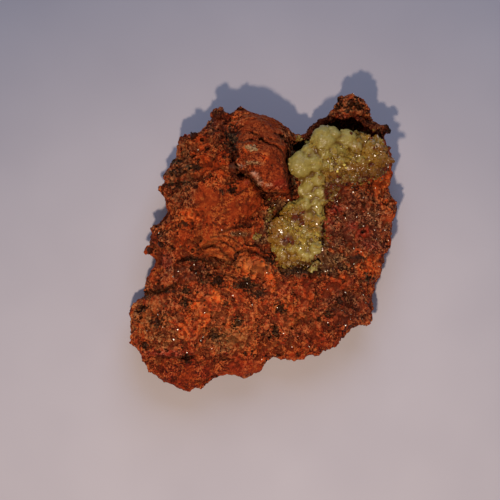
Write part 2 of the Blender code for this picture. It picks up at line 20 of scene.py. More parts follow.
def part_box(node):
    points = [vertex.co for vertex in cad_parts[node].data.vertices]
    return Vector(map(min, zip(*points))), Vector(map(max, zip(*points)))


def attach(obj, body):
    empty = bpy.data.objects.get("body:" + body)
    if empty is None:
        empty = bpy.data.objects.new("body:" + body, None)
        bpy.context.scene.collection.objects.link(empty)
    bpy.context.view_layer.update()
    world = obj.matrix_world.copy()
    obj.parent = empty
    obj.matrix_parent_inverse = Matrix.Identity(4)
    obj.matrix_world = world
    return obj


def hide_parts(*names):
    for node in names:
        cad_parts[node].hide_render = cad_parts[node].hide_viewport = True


MM = 0.001
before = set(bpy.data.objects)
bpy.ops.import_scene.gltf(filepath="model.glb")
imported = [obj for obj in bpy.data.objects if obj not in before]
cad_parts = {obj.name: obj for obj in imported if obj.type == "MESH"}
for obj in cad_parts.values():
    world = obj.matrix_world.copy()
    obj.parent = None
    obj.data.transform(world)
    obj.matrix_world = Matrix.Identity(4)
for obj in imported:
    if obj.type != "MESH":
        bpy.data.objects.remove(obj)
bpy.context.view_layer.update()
for name in sorted(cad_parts):
    low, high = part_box(name)
    print(name, "from", [round(c / MM, 1) for c in low], "to", [round(c / MM, 1) for c in high], "mm")

# %% [markdown]
# ## The view and the light
#
# The lump lies on its flat and is looked at from straight above. A long lens far away keeps
# the walls of the lump from leaning outwards. A broad lamp alone would hide the relief,
# because its shadows have no edges. So the main light is one small, warm spot lamp that
# stands nearly overhead, a little towards the near side: the relief throws short, clear
# shadows, and single crystal faces flash. It is aimed short of the lump, which makes the near
# side brighter than the far one. A broad, cool window beyond the far side and a dim sky fill
# the shadows. The window's own mirror image is left out, because it would veil the crystals.

# %% Camera, straight above
FRAME_WIDTH = 100 * MM  # what the picture takes in, at the height of FOCUS_HEIGHT
FOCUS_HEIGHT = 10 * MM
CAMERA_DISTANCE = 700 * MM
FRAME_MIDDLE = (-2.56 * MM, -1.29 * MM)
SENSOR_WIDTH = 36  # millimetres, as Blender's cameras have it

camera_data = bpy.data.cameras.new("camera")
camera_data.sensor_width = SENSOR_WIDTH
camera_data.lens = SENSOR_WIDTH * CAMERA_DISTANCE / FRAME_WIDTH
camera = bpy.data.objects.new("camera", camera_data)
camera.location = (*FRAME_MIDDLE, FOCUS_HEIGHT + CAMERA_DISTANCE)
bpy.context.scene.collection.objects.link(camera)
bpy.context.scene.camera = camera
print("lens", round(camera_data.lens), "mm")


# %% Colours from hex values
def linear(hex_colour):
    """An sRGB hex value as the linear red, green, blue and alpha that Blender works in."""
    channels = [int(hex_colour[start : start + 2], 16) / 255 for start in (1, 3, 5)]
    return [c / 12.92 if c <= 0.04045 else ((c + 0.055) / 1.055) ** 2.4 for c in channels] + [1.0]


print("mid grey", [round(c, 3) for c in linear("#808080")])

# %% Lamps and sky
KEY_PLACE = Vector((-32.0, -100.0, 330.0)) * MM
KEY_AIM = Vector((0.0, -60.0, 0.0)) * MM  # short of the lump, so that the near side is brighter
KEY_RADIUS = 9 * MM
KEY_CONE = 48  # degrees
KEY_POWER = 2.85  # watts
WINDOW_PLACE = Vector((60.0, 420.0, 430.0)) * MM
WINDOW_SIZE = 420 * MM
WINDOW_POWER = 1.5  # watts
SKY = "#55525a"


def add_lamp(name, kind, power, colour, place, aim, **settings):
    """A lamp at its place, turned to what it lights."""
    data = bpy.data.lights.new(name, kind)
    data.energy = power
    data.color = linear(colour)[:3]
    for setting, value in settings.items():
        setattr(data, setting, value)
    lamp = bpy.data.objects.new(name, data)
    lamp.location = place
    lamp.rotation_euler = (aim - place).to_track_quat("-Z", "Y").to_euler()
    bpy.context.scene.collection.objects.link(lamp)
    return lamp


key_lamp = add_lamp(
    "key lamp", "SPOT", KEY_POWER, "#ffe8d5", KEY_PLACE, KEY_AIM,
    shadow_soft_size=KEY_RADIUS, spot_size=math.radians(KEY_CONE), spot_blend=1.0,
)
window = add_lamp(
    "window", "AREA", WINDOW_POWER, "#c0d5ff", WINDOW_PLACE, Vector((0, 0, 0)),
    shape="SQUARE", size=WINDOW_SIZE,
)
window.visible_glossy = False

world = bpy.data.worlds.new("sky")
world.use_nodes = True
world.node_tree.nodes["Background"].inputs["Color"].default_value = linear(SKY)
bpy.context.scene.world = world
bpy.context.scene.view_settings.view_transform = "Standard"
print("key lamp at", [round(c / MM) for c in key_lamp.location], "mm")


# %% [markdown]
# ## A helper for materials
#
# A material is a small tree of nodes. One function adds a node, sets what is a plain value
# and links what comes from another node, so that each material below reads as a list.

# %% Add a node
def add_node(tree, kind, inputs=None, stops=(), **settings):
    """Adds a node. In inputs, a socket is linked and a plain value is set. Stops colour a ramp."""
    node = tree.nodes.new(kind)
    for name, value in settings.items():
        setattr(node, name, value)
    for name, value in (inputs or {}).items():
        if isinstance(value, bpy.types.NodeSocket):
            tree.links.new(value, node.inputs[name])
        else:
            node.inputs[name].default_value = value
    for number, (position, colour) in enumerate(stops):
        elements = node.color_ramp.elements
        element = elements[number] if number < 2 else elements.new(position)
        element.position = position
        element.color = linear(colour)
    return node


def new_material(name):
    """An empty material with its tree, its Principled shader and the Object coordinates."""
    made = bpy.data.materials.new(name)
    made.use_nodes = True
    tree = made.node_tree
    place = add_node(tree, "ShaderNodeTexCoord").outputs["Object"]
    return made, tree, tree.nodes["Principled BSDF"], place


print("helpers:", add_node.__name__, "and", new_material.__name__)

# %% [markdown]
# ## The table
#
# A plain, pale sheet of pressed board, just under the lump. It is matt, with a cloudiness
# that is hardly seen, and it only has to catch the shadow, so it is one plane.

# %% Floor
FLOOR_SIZE = 4.0  # metres, so that no edge of it is seen
FLOOR_DROP = 0.02 * MM  # below the lump's flat, so that the two don't flicker
BOARD_CLOUD_SIZE = 25 * MM
BOARD_ROUGHNESS = 0.85  # uncoated, so that no lamp shows in it

bpy.ops.mesh.primitive_plane_add(size=FLOOR_SIZE, location=(0, 0, -FLOOR_DROP))
floor = bpy.context.object
floor.name = "floor"
board, tree, shader, place = new_material("pale_board")
cloud = add_node(
    tree, "ShaderNodeTexNoise", {"Vector": place, "Scale": 1 / BOARD_CLOUD_SIZE, "Detail": 2.0}
)
tint = add_node(
    tree, "ShaderNodeValToRGB", {"Fac": cloud.outputs["Fac"]}, stops=[(0.3, "#c9c4c6"), (0.7, "#d0cbcc")]
)
tree.links.new(tint.outputs["Color"], shader.inputs["Base Color"])
shader.inputs["Roughness"].default_value = BOARD_ROUGHNESS
floor.data.materials.append(board)
print("floor is", FLOOR_SIZE, "m wide")


# %% [markdown]
# ## The lump
#
# Limonite has no crystal shape of its own. Its surface is a heap of knuckles, pebbles and
# grit, with cracks where plates have broken away. A painted bump would look flat at the edge
# and in the shadows, so the relief is real. The construction mesh is copied, and balls are
# joined to it where knobs stand out of its rim. A Remesh modifier rebuilds it all as one skin
# of even quads. It is smoothed until its facets are gone, made finer where it is seen, and
# then moved by Displace modifiers, coarse ones first.

# %% Points and triangles of a piece
def points_of(piece):
    """The piece's points as an array with a row for each."""
    flat = np.empty(len(piece.data.vertices) * 3, np.float32)
    piece.data.vertices.foreach_get("co", flat)
    return flat.reshape(-1, 3).astype(float)


def normals_of(piece):
    """The direction that the surface faces at each point."""
    flat = np.empty(len(piece.data.vertices) * 3, np.float32)
    piece.data.vertex_normals.foreach_get("vector", flat)
    return flat.reshape(-1, 3).astype(float)


def move_points(piece, points):
    """Gives the piece's points new places."""
    piece.data.vertices.foreach_set("co", points.astype(np.float32).ravel())
    piece.data.update()


def triangle_count(piece):
    """How many triangles the piece has, its quads counted as two."""
    piece.data.calc_loop_triangles()
    return len(piece.data.loop_triangles)


print("the lump's node has", triangle_count(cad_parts["matrix"]), "triangles")

# %% Modifiers, and copies of nodes
MERGE_DISTANCE = 0.001 * MM


def select_only(piece):
    """Makes this the one selected and active object."""
    bpy.ops.object.select_all(action="DESELECT")
    piece.select_set(True)
    bpy.context.view_layer.objects.active = piece


def apply_modifier(piece, kind, **settings):
    """Adds a modifier with its settings and applies it."""
    select_only(piece)
    modifier = piece.modifiers.new(kind, kind)
    for name, value in settings.items():
        setattr(modifier, name, value)
    bpy.ops.object.modifier_apply(modifier=modifier.name)


def copy_of_node(node, name):
    """A new piece with a copy of a node's mesh, its loose triangles merged."""
    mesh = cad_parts[node].data.copy()
    mesh.materials.clear()
    piece = bpy.data.objects.new(name, mesh)
    bpy.context.scene.collection.objects.link(piece)
    select_only(piece)
    bpy.ops.object.mode_set(mode="EDIT")
    bpy.ops.mesh.select_all(action="SELECT")
    bpy.ops.mesh.remove_doubles(threshold=MERGE_DISTANCE)
    bpy.ops.object.mode_set(mode="OBJECT")
    return piece


rock = copy_of_node("matrix", "limonite_lump")
print("its copy has", len(rock.data.vertices), "points once they are merged")

# %% Knobs that stand out of the rim
LIST_ZERO = np.array((0.36, 0.48)) * MM  # where the lists of places have their zero
# A knob is (x, y, height of its middle, radius across, radius up), in millimetres.
KNOBS = [
    (-9.3, 25.1, 13.4, 1.9, 2.6), (-15.6, 20.6, 10.0, 1.5, 1.8), (-13.8, 20.7, 10.2, 1.4, 1.8),
    (-4.8, 25.9, 12.6, 1.1, 1.3), (17.5, 27.4, 13.6, 2.2, 2.6), (15.2, 26.0, 12.8, 1.9, 2.2),
    (19.8, 26.0, 12.0, 1.7, 2.0), (20.8, 25.2, 11.0, 0.9, 1.2), (23.7, 22.1, 10.6, 1.5, 1.8),
    (-21.9, 2.6, 9.4, 1.5, 1.8), (-22.6, -1.4, 8.6, 1.4, 1.7), (-23.0, -8.8, 8.4, 1.2, 1.6),
    (-20.6, 10.2, 9.0, 1.1, 1.6), (-26.0, -13.8, 7.4, 1.5, 1.9), (-15.0, -28.0, 6.2, 2.3, 2.2),
    (-19.8, -26.8, 6.2, 1.8, 1.9), (-10.0, -27.0, 6.4, 1.4, 1.8), (-4.3, -25.6, 6.6, 2.0, 2.1),
    (6.0, -22.8, 6.4, 1.4, 1.7), (9.6, -21.2, 6.4, 1.5, 1.8), (14.0, -19.4, 6.8, 1.5, 1.8),
    (25.5, 7.2, 8.4, 1.5, 2.0), (20.6, -15.0, 7.0, 1.4, 1.9), (6.7, 20.6, 12.0, 1.1, 1.3),
    (-25.8, -20.0, 6.4, 1.3, 1.7), (2.0, -21.6, 6.4, 1.4, 1.7),
]


def add_knobs(piece, knobs):
    """Joins balls to the piece. The next remesh makes one skin of them."""
    bpy.ops.object.select_all(action="DESELECT")
    for x, y, height, across, up in knobs:
        middle = (x * MM + LIST_ZERO[0], y * MM + LIST_ZERO[1], height * MM)
        bpy.ops.mesh.primitive_ico_sphere_add(subdivisions=3, radius=1, location=middle)
        ball = bpy.context.object
        ball.scale = (across * MM, across * MM, up * MM)
        ball.select_set(True)
        piece.select_set(True)
        bpy.context.view_layer.objects.active = piece
        bpy.ops.object.join()


add_knobs(rock, KNOBS)
print(len(KNOBS), "knobs joined to the lump")

# %% Even quads, finer where they are seen
ROCK_VOXEL = 0.43 * MM
ROCK_SMOOTHINGS = 4
SEEN_FROM = 0.1  # upward part of a face's normal from which it counts as seen from above
SEEN_ABOVE = 5.0 * MM

apply_modifier(rock, "REMESH", mode="VOXEL", voxel_size=ROCK_VOXEL)
apply_modifier(rock, "SMOOTH", factor=0.5, iterations=ROCK_SMOOTHINGS)
for polygon in rock.data.polygons:
    polygon.select = polygon.normal.z > SEEN_FROM and polygon.center.z > SEEN_ABOVE
bpy.ops.object.mode_set(mode="EDIT")
bpy.ops.mesh.subdivide(number_cuts=1, smoothness=0.0)
bpy.ops.object.mode_set(mode="OBJECT")
print("lump:", triangle_count(rock), "triangles")

# %% [markdown]
# ## Where each finish lies
#
# A lump like this has many looks side by side: smooth dark red plates, bright rusty patches,
# tan and granular parts, dark purple and olive parts with small sparkling crystals, and
# black in the pits, the cracks and the cavity, which is partly oxide and partly painted shade.
# They could be painted on a picture that is laid over the lump, but then the relief and the
# grains wouldn't know of them. So each look is a short list of soft ovals in millimetres, seen
# from above. Noise makes their edges ragged, and the result is stored on the mesh as attributes
# that the relief, the grains and the material all read.
# Within one look some places are made paler or darker than others, and those are ovals as well; the darker
# lower slab among them is painted shade.

# %% Finishes of the lump, as (x, y, reach along x, reach along y)
FINISHES = {
    "plate_red": [
        (-0.7, 22.5, 6.2, 3.5), (1.1, 16.7, 4.5, 5.5), (2.2, 12.0, 3.6, 2.2), (-3.9, 20.5, 3.0, 3.0),
    ],
    "brick": [
        (-8.9, 7.7, 8.2, 4.2), (-3.4, 9.7, 4.0, 3.5), (-8.9, 1.2, 8.0, 2.0), (-8.9, -1.3, 5.5, 2.2),
        (-16.9, -26.3, 5.5, 3.0), (-3.9, -25.5, 3.0, 2.1), (-19.9, -6.2, 2.0, 3.8),
        (-2.4, -2.3, 3.0, 1.5),
    ],
    "fox_orange": [
        (-2.2, -5.4, 3.1, 1.6), (1.5, -7.5, 1.2, 2.1), (-12.9, -10.8, 6.0, 3.1), (-15.3, 4.7, 2.6, 1.4),
        (-15.3, 20.9, 2.0, 0.9), (20.3, -4.4, 1.9, 2.8), (15.1, -7.4, 2.1, 0.9), (24.2, 9.2, 1.7, 4.8),
        (17.4, 29.2, 1.8, 0.5), (0.0, 16.7, 0.9, 0.9), (-6.6, 24.2, 1.2, 0.9), (23.8, 11.5, 2.0, 2.0),
        (-13.9, -16.8, 5.5, 3.0), (3.1, -11.3, 3.0, 2.5),
    ],
    "ochre": [
        (-7.9, -4.6, 2.2, 1.7), (-23.9, -17.0, 3.8, 4.5), (-7.4, -19.3, 8.5, 4.5), (25.6, 7.2, 0.7, 2.2),
        (-13.9, 16.2, 5.5, 4.0), (-9.7, 13.2, 3.0, 2.5), (-3.2, 18.1, 1.6, 0.8), (7.1, 20.5, 1.1, 1.0),
        (24.5, 16.2, 1.4, 3.1), (8.1, -13.8, 4.5, 3.0), (-19.4, 1.2, 2.0, 3.0),
    ],
    "russet": [
        (-9.0, -21.0, 15.0, 6.5), (8.0, -13.0, 11.0, 7.0), (-17.0, -11.0, 8.0, 5.0),
        (-9.4, 24.2, 2.6, 2.6),
    ],
    "drab": [
        (-23.6, -15.2, 3.4, 2.8), (-7.4, -19.8, 3.6, 1.9), (-7.6, -4.7, 1.7, 1.2),
        (-20.5, -19.5, 2.4, 1.6),
    ],
    "umber_and_wall_shade": [
        (-17.2, 14.7, 3.2, 6.5), (-16.4, 9.2, 3.0, 2.5), (-21.2, 0.7, 2.5, 3.8),
        (-14.4, -6.0, 4.8, 2.2), (22.8, 22.1, 1.8, 1.9), (7.3, 20.0, 2.4, 1.8), (-16.9, 20.5, 2.0, 1.2),
        (4.1, 21.2, 2.0, 1.5), (19.6, 23.0, 4.5, 1.2), (-19.9, -9.8, 3.5, 2.0),
        (17.2, 26.8, 4.0, 2.4),
    ],
    "plum": [
        (18.6, 4.2, 6.5, 5.5), (16.1, 8.7, 3.0, 2.0), (16.6, -13.3, 4.2, 4.0), (-14.3, -5.9, 4.0, 2.1),
        (21.1, 0.2, 3.5, 2.5), (15.1, 0.2, 3.0, 2.5), (-9.9, 23.5, 2.0, 2.2),
    ],
    "olive": [
        (12.2, -4.0, 5.6, 2.6), (7.6, -5.5, 4.5, 1.5), (3.1, 7.2, 2.5, 1.2), (1.1, 2.7, 1.5, 3.5),
        (-2.4, 15.3, 1.5, 0.4), (-0.4, 0.2, 1.5, 1.2), (-5.0, 1.4, 1.6, 0.5),
    ],
    "cherry": [
        (-18.7, -22.4, 4.9, 0.7), (19.8, 1.6, 1.5, 1.1), (14.1, 6.2, 1.4, 1.0), (21.3, -0.8, 1.7, 0.9),
        (16.3, 23.0, 1.1, 0.5), (-3.5, 11.6, 0.6, 0.5), (17.6, 3.2, 1.2, 0.9), (-15.5, 21.2, 1.5, 0.5),
        (3.3, 11.1, 1.9, 0.9), (12.6, 4.0, 1.2, 0.9), (15.3, 24.7, 1.1, 0.5), (-19.7, -3.8, 1.3, 1.5),
        (18.4, 24.4, 0.9, 0.4),
    ],
    "salmon": [
        (-2.2, 13.1, 0.6, 0.6), (-1.5, 12.3, 0.55, 0.9), (-0.9, 11.4, 0.5, 0.7), (0.9, 11.0, 0.7, 0.3),
        (-5.4, 14.7, 1.5, 0.4),
    ],
    # Black oxide, and painted shade in the cavity behind the crust and along the cracks and pits.
    "soot_and_shade": [
        (13.8, 23.1, 4.5, 1.3), (-6.3, 17.7, 0.8, 2.5), (5.6, 11.0, 0.7, 2.0), (1.1, -3.8, 1.2, 0.9),
        (6.1, -5.9, 4.0, 0.6), (-23.9, -11.1, 2.0, 0.35), (-20.7, -10.0, 2.8, 0.35),
        (5.6, 17.7, 0.7, 1.2), (7.8, 19.0, 2.0, 0.7), (-3.9, -8.8, 2.4, 0.7), (-9.5, -7.8, 1.1, 1.0),
        (-15.9, -11.9, 0.5, 1.1), (-15.7, -9.8, 0.5, 0.9), (-21.3, -16.0, 0.5, 1.0),
        (-5.3, -16.0, 0.5, 0.7), (-9.8, -18.8, 1.0, 0.5), (-23.9, -20.8, 0.4, 0.6),
        (-15.5, -23.5, 0.5, 0.7), (3.1, -13.3, 0.5, 0.9), (-9.7, -7.9, 0.6, 0.6),
        (-12.4, -8.2, 0.5, 0.5), (-3.6, -7.6, 1.2, 0.4), (-13.9, -3.7, 3.4, 0.3),
        (2.2, -18.0, 0.6, 1.1), (20.6, -7.3, 1.3, 0.7), (-6.4, 10.2, 0.8, 0.7), (-8.2, 9.7, 0.6, 0.5),
        (-13.9, 14.7, 1.3, 0.5), (-18.2, 16.0, 2.0, 0.5), (-18.2, 13.7, 2.2, 0.4),
        (-16.9, 11.5, 2.0, 0.4), (19.1, -3.3, 1.1, 0.7), (-0.9, -10.3, 1.0, 0.8),
        (-6.6, 20.4, 1.3, 2.2),
    ],
}
print(len(FINISHES), "finishes made of", sum(len(ovals) for ovals in FINISHES.values()), "ovals")

# %% Edges of the finishes, and paler and darker places
# Each finish's edge: how soft and how ragged it is, in shares of the reach, and the rags' size.
SOFT_EDGE = (0.35, 0.8, 1.3 * MM)
EDGES = {name: SOFT_EDGE for name in FINISHES}
EDGES["plate_red"] = EDGES["brick"] = (0.25, 0.5, 1.3 * MM)
EDGES["cherry"] = EDGES["salmon"] = (0.25, 0.4, 0.5 * MM)
EDGES["soot_and_shade"] = (0.2, 1.5, 0.6 * MM)
EDGES["russet"] = (0.4, 2.4, 2.6 * MM)
EDGES["drab"] = (0.5, 1.4, 0.9 * MM)

# Places that are paler or darker than the rest of their finish, as
# (x, y, reach along x, reach along y, how much paler), less than nothing for the darker ones.
# The first place below is painted shade: it darkens the lower slab, which faces the lamp.
TONES = [
    (2.0, 13.7, 2.8, 3.2, -0.26), (-9.9, 8.2, 6.0, 3.6, -0.13), (-2.7, 6.7, 2.8, 3.0, -0.1),
    (-8.9, -1.4, 5.0, 2.6, 0.18), (-2.7, -5.2, 3.0, 1.6, 0.5), (-14.4, -5.9, 3.4, 2.2, -0.2),
    (-10.9, -11.1, 4.0, 2.4, 0.12), (-7.9, -17.8, 6.0, 3.6, 0.26), (-15.9, -26.8, 4.0, 2.4, -0.42),
    (-4.4, -25.3, 2.4, 2.2, -0.15), (7.1, -15.8, 5.0, 4.6, 0.16), (24.3, 6.7, 1.8, 4.4, 0.12),
    (17.4, 26.7, 3.4, 2.2, 0.18), (-16.4, 14.2, 3.0, 4.6, 0.2), (-9.4, 23.4, 2.4, 2.2, -0.15),
    (16.6, -13.8, 3.6, 3.0, -0.12), (-10.4, 15.7, 3.0, 3.6, -0.16), (-24.8, -1.5, 4.0, 4.0, -0.12),
    (14.4, -19.4, 6.4, 4.0, -0.2), (9.6, -7.4, 4.0, 1.6, -0.16),
]
print(len(TONES), "paler or darker places")

# %% How far a finish reaches
OCTAVE_FADE = 0.8  # Blender's fractal increment: how fast the finer octaves fade
OCTAVE_STEP = 2.1  # each octave is this much finer than the one before


def fractal(points, size, octaves=3):
    """Fractal noise, about -1 to 1, with lumps of the given size."""
    values = [noise.fractal(Vector(p) / size, OCTAVE_FADE, OCTAVE_STEP, octaves) for p in points]
    return np.array(values)


def cover(points, ovals, softness, raggedness, size):
    """How far a finish covers each point: 1 inside its ovals, 0 outside."""
    covered = np.zeros(len(points))
    across = (points[:, :2] - LIST_ZERO) / MM
    ragged = raggedness * fractal(points, size)
    for x, y, reach_x, reach_y in ovals:
        away = np.hypot((across[:, 0] - x) / reach_x, (across[:, 1] - y) / reach_y)
        edge = (1 - away + ragged) / (2 * softness) + 0.5
        covered = np.maximum(covered, np.clip(edge, 0, 1))
    return covered


def finishes_at(points):
    """Every finish's cover at each point."""
    return {name: cover(points, ovals, *EDGES[name]) for name, ovals in FINISHES.items()}


covers = finishes_at(points_of(rock))
for name, covered in covers.items():
    print(name, "covers", round(100 * covered.mean(), 1), "% of the points")


# %% [markdown]
# ## Knuckles, pebbles and grit
#
# Five Displace modifiers roughen the lump, coarse ones first: broad lumps, then knuckles,
# pebbles and grains with creases between them, then grit. A Voronoi texture set to second
# minus first distance gives the creases, and clouds give the grit. Two vertex groups hold
# the relief back on the smooth plates and at the sides, and keep the flat that the lump
# rests on. The same crumb all over would look like plaster. Real limonite is crumbly in one
# place and firm in the next, so slow noise makes the fine relief stronger and weaker.

# %% Groups, textures and displacement
def paint_group(piece, name, weights):
    """A vertex group with its own weight for each point."""
    group = piece.vertex_groups.new(name=name)
    for index, weight in enumerate(weights):
        group.add([index], float(weight), "REPLACE")
    return group.name


def new_texture(name, kind, size, **settings):
    """A texture for a Displace modifier, with its cells or clouds of the given size."""
    texture = bpy.data.textures.new(name, kind)
    texture.noise_scale = size
    for setting, value in settings.items():
        setattr(texture, setting, value)
    return texture


def displace(piece, group, texture, height, middle):
    """Moves the points along their normals, by the texture less its middle value times the height."""
    apply_modifier(
        piece, "DISPLACE", vertex_group=group, texture=texture, texture_coords="LOCAL",
        strength=height, mid_level=middle,
    )


creased = {"weight_1": -1.0, "weight_2": 1.0, "noise_intensity": 2.0}
lump_texture = new_texture("lumps", "VORONOI", 4.4 * MM)
knuckle_texture = new_texture("knuckles", "VORONOI", 2.5 * MM, **creased)
pebble_texture = new_texture("pebbles", "VORONOI", 1.25 * MM, **creased)
grain_texture = new_texture("grains", "VORONOI", 0.7 * MM, **creased)
grit_texture = new_texture("grit", "CLOUDS", 0.5 * MM, noise_depth=2)
print("textures:", [texture.name for texture in bpy.data.textures])

# %% Roughen the lump
REST_START = 0.1 * MM  # no relief below this height, so the flat stays flat
REST_BAND = 1.2 * MM  # the relief grows to its full height over this much more
CRUMB_PATCH_SIZE = 3.4 * MM  # crumbly and firm patches take turns at about this distance
USUAL_CRUMBLINESS = 0.85


def crumbliness_at(points):
    """How crumbly the limonite is at each point, from 0.4 for firm to 1.35 for loose."""
    return np.clip(USUAL_CRUMBLINESS + 1.3 * fractal(points, CRUMB_PATCH_SIZE, 2), 0.4, 1.35)


points = points_of(rock)
above_flat = np.clip((points[:, 2] - REST_START) / REST_BAND, 0, 1)
smoothness = np.clip(covers["plate_red"] + 0.75 * covers["brick"], 0, 1)
facing_up = np.clip(normals_of(rock)[:, 2] * 1.5, 0, 1)
at_the_side = 0.45 + 0.55 * facing_up  # the sides are smoother than the top
coarse_group = paint_group(rock, "coarse", above_flat * at_the_side * (1 - 0.65 * smoothness))
fine_cover = above_flat * (0.7 + 0.3 * facing_up) * (1 - 0.82 * smoothness)
fine_group = paint_group(rock, "fine", fine_cover * np.clip(0.3 + 0.7 * crumbliness_at(points), 0, 1))
displace(rock, coarse_group, lump_texture, -2.6 * MM, 0.45)
displace(rock, coarse_group, knuckle_texture, 1.4 * MM, 0.45)
displace(rock, fine_group, pebble_texture, 0.75 * MM, 0.45)
displace(rock, fine_group, grain_texture, 0.42 * MM, 0.35)
displace(rock, fine_group, grit_texture, 0.28 * MM, 0.5)
print("the relief moved points by up to", round(np.abs(points_of(rock) - points).max() / MM, 2), "mm")

# %% [markdown]
# ## Cracks, pits and flakes
#
# The marks that one would know this lump by are put in one by one. Plates of it have come
# away in shells, which leaves raised plates with low ground round them. There is a deep crack
# under the largest, and there are finer cracks, ragged pits and a few flakes. They could be
# cut out with knives and Booleans, but broken rock has no clean edge. So each mark is an
# outline, a path or a spot in millimetres, and the points of the mesh near it are moved down
# or up. The coordinates are shaken a little first, so no line is smooth.

# %% Cracks and pits
# A crack is (half width, depth, path).
CRACKS = [
    (0.45, 2.0, [(-6.4, 16.6), (-6.2, 15.2), (-5.4, 13.7), (-2.9, 12.7), (-0.9, 10.2), (-0.2, 9.4)]),
    (0.22, 0.6, [(-0.2, 9.4), (1.0, 9.0), (2.4, 9.6), (3.8, 9.2), (5.0, 9.5), (6.0, 10.4)]),
    (0.5, 1.6, [(5.6, 9.7), (5.0, 12.2), (5.2, 14.8), (4.3, 17.6), (5.6, 20.0)]),
    (0.2, 0.8, [
        (-2.8, 21.5), (-0.9, 20.6), (-0.4, 19.7), (1.1, 19.0), (2.2, 18.7), (3.6, 17.4), (4.4, 15.6),
    ]),
    (0.2, 0.7, [(2.0, 21.4), (3.0, 21.0), (3.7, 20.3), (4.4, 19.4)]),
    (0.2, 0.4, [(-6.9, 20.5), (-4.2, 19.4), (-2.0, 19.8)]),
    (0.35, 1.3, [(-11.9, -1.3), (-10.4, -0.8), (-8.9, -1.3), (-7.9, -2.8), (-6.4, -3.8)]),
    (0.32, 1.1, [(-5.9, -2.8), (-4.4, -1.8), (-2.4, -2.0), (0.1, -3.3)]),
    (0.25, 0.7, [(-8.9, 1.7), (-6.4, 2.5), (-3.9, 3.2)]),
    (0.4, 1.0, [(-25.9, -11.8), (-23.9, -10.3), (-21.4, -10.3), (-17.9, -8.8)]),
    (0.35, 1.0, [(-17.2, -4.0), (-14.6, -3.2), (-12.0, -3.6), (-9.6, -5.2)]),
    (0.3, 0.7, [(-9.2, -6.4), (-6.6, -6.9), (-4.2, -8.4), (-0.9, -8.8)]),
    (0.3, 0.8, [(-21.4, -23.0), (-17.4, -23.2), (-14.4, -22.9)]),
    (0.25, 0.6, [(-20.6, 16.4), (-17.6, 16.2), (-14.4, 16.8)]),
    (0.25, 0.6, [(-21.0, 13.6), (-17.6, 13.4), (-14.0, 13.9)]),
    (0.25, 0.6, [(-20.4, 11.2), (-16.6, 11.5), (-13.6, 11.0)]),
    (0.2, 0.5, [(-13.4, -2.0), (-11.2, -0.2), (-9.0, 0.1), (-7.0, -0.9), (-5.6, -2.0)]),
    (0.2, 0.5, [(-10.6, 0.8), (-8.4, 1.2), (-6.0, 0.2), (-4.4, -1.0)]),
    (0.2, 0.7, [(-8.4, 22.6), (-7.2, 20.2), (-6.0, 18.2), (-5.2, 16.6)]),
    (0.2, 0.5, [(3.9, 23.2), (4.9, 20.4), (4.2, 17.4), (4.8, 14.4), (4.6, 11.4)]),
    (0.2, 0.5, [(-7.4, 9.8), (-5.2, 9.2), (-3.6, 10.4)]),
    (0.2, 0.5, [(4.6, -14.6), (7.6, -16.2), (10.6, -15.6), (13.6, -17.2)]),
    (0.2, 0.5, [(-11.6, -17.2), (-9.0, -18.8), (-6.6, -18.4)]),
    (0.22, 0.6, [(-13.4, -24.4), (-9.8, -23.0), (-6.2, -23.8)]),
    (0.2, 0.5, [(20.0, 12.6), (21.8, 9.6), (21.4, 6.2), (22.6, 2.4)]),
]
# A pit or a flake is (x, y, radius, depth or height).
PITS = [
    (-21.3, -16.0, 0.8, 1.0), (-15.7, -12.0, 0.7, 1.2), (-5.3, -16.2, 0.7, 1.1), (-9.8, -18.8, 0.8, 0.8),
    (-23.9, -20.8, 0.5, 0.9), (-15.5, -23.5, 0.7, 0.8), (3.1, -13.3, 0.7, 1.1), (2.2, -18.0, 0.6, 1.0),
    (-6.4, 10.2, 0.6, 0.8), (-9.5, -7.8, 0.8, 1.1), (-3.9, -8.8, 0.8, 0.8), (-13.9, 14.9, 0.6, 0.7),
    (14.6, 28.2, 0.6, 0.7), (18.4, 27.4, 0.6, 0.7), (16.6, 26.0, 0.5, 0.6), (-15.5, -9.9, 0.5, 1.0),
    (-24.6, -13.4, 0.5, 0.8), (-7.4, -12.6, 0.4, 0.7), (12.6, -14.4, 0.5, 0.8), (-16.0, 3.4, 0.5, 0.8),
]
print(len(CRACKS), "cracks and", len(PITS), "pits")

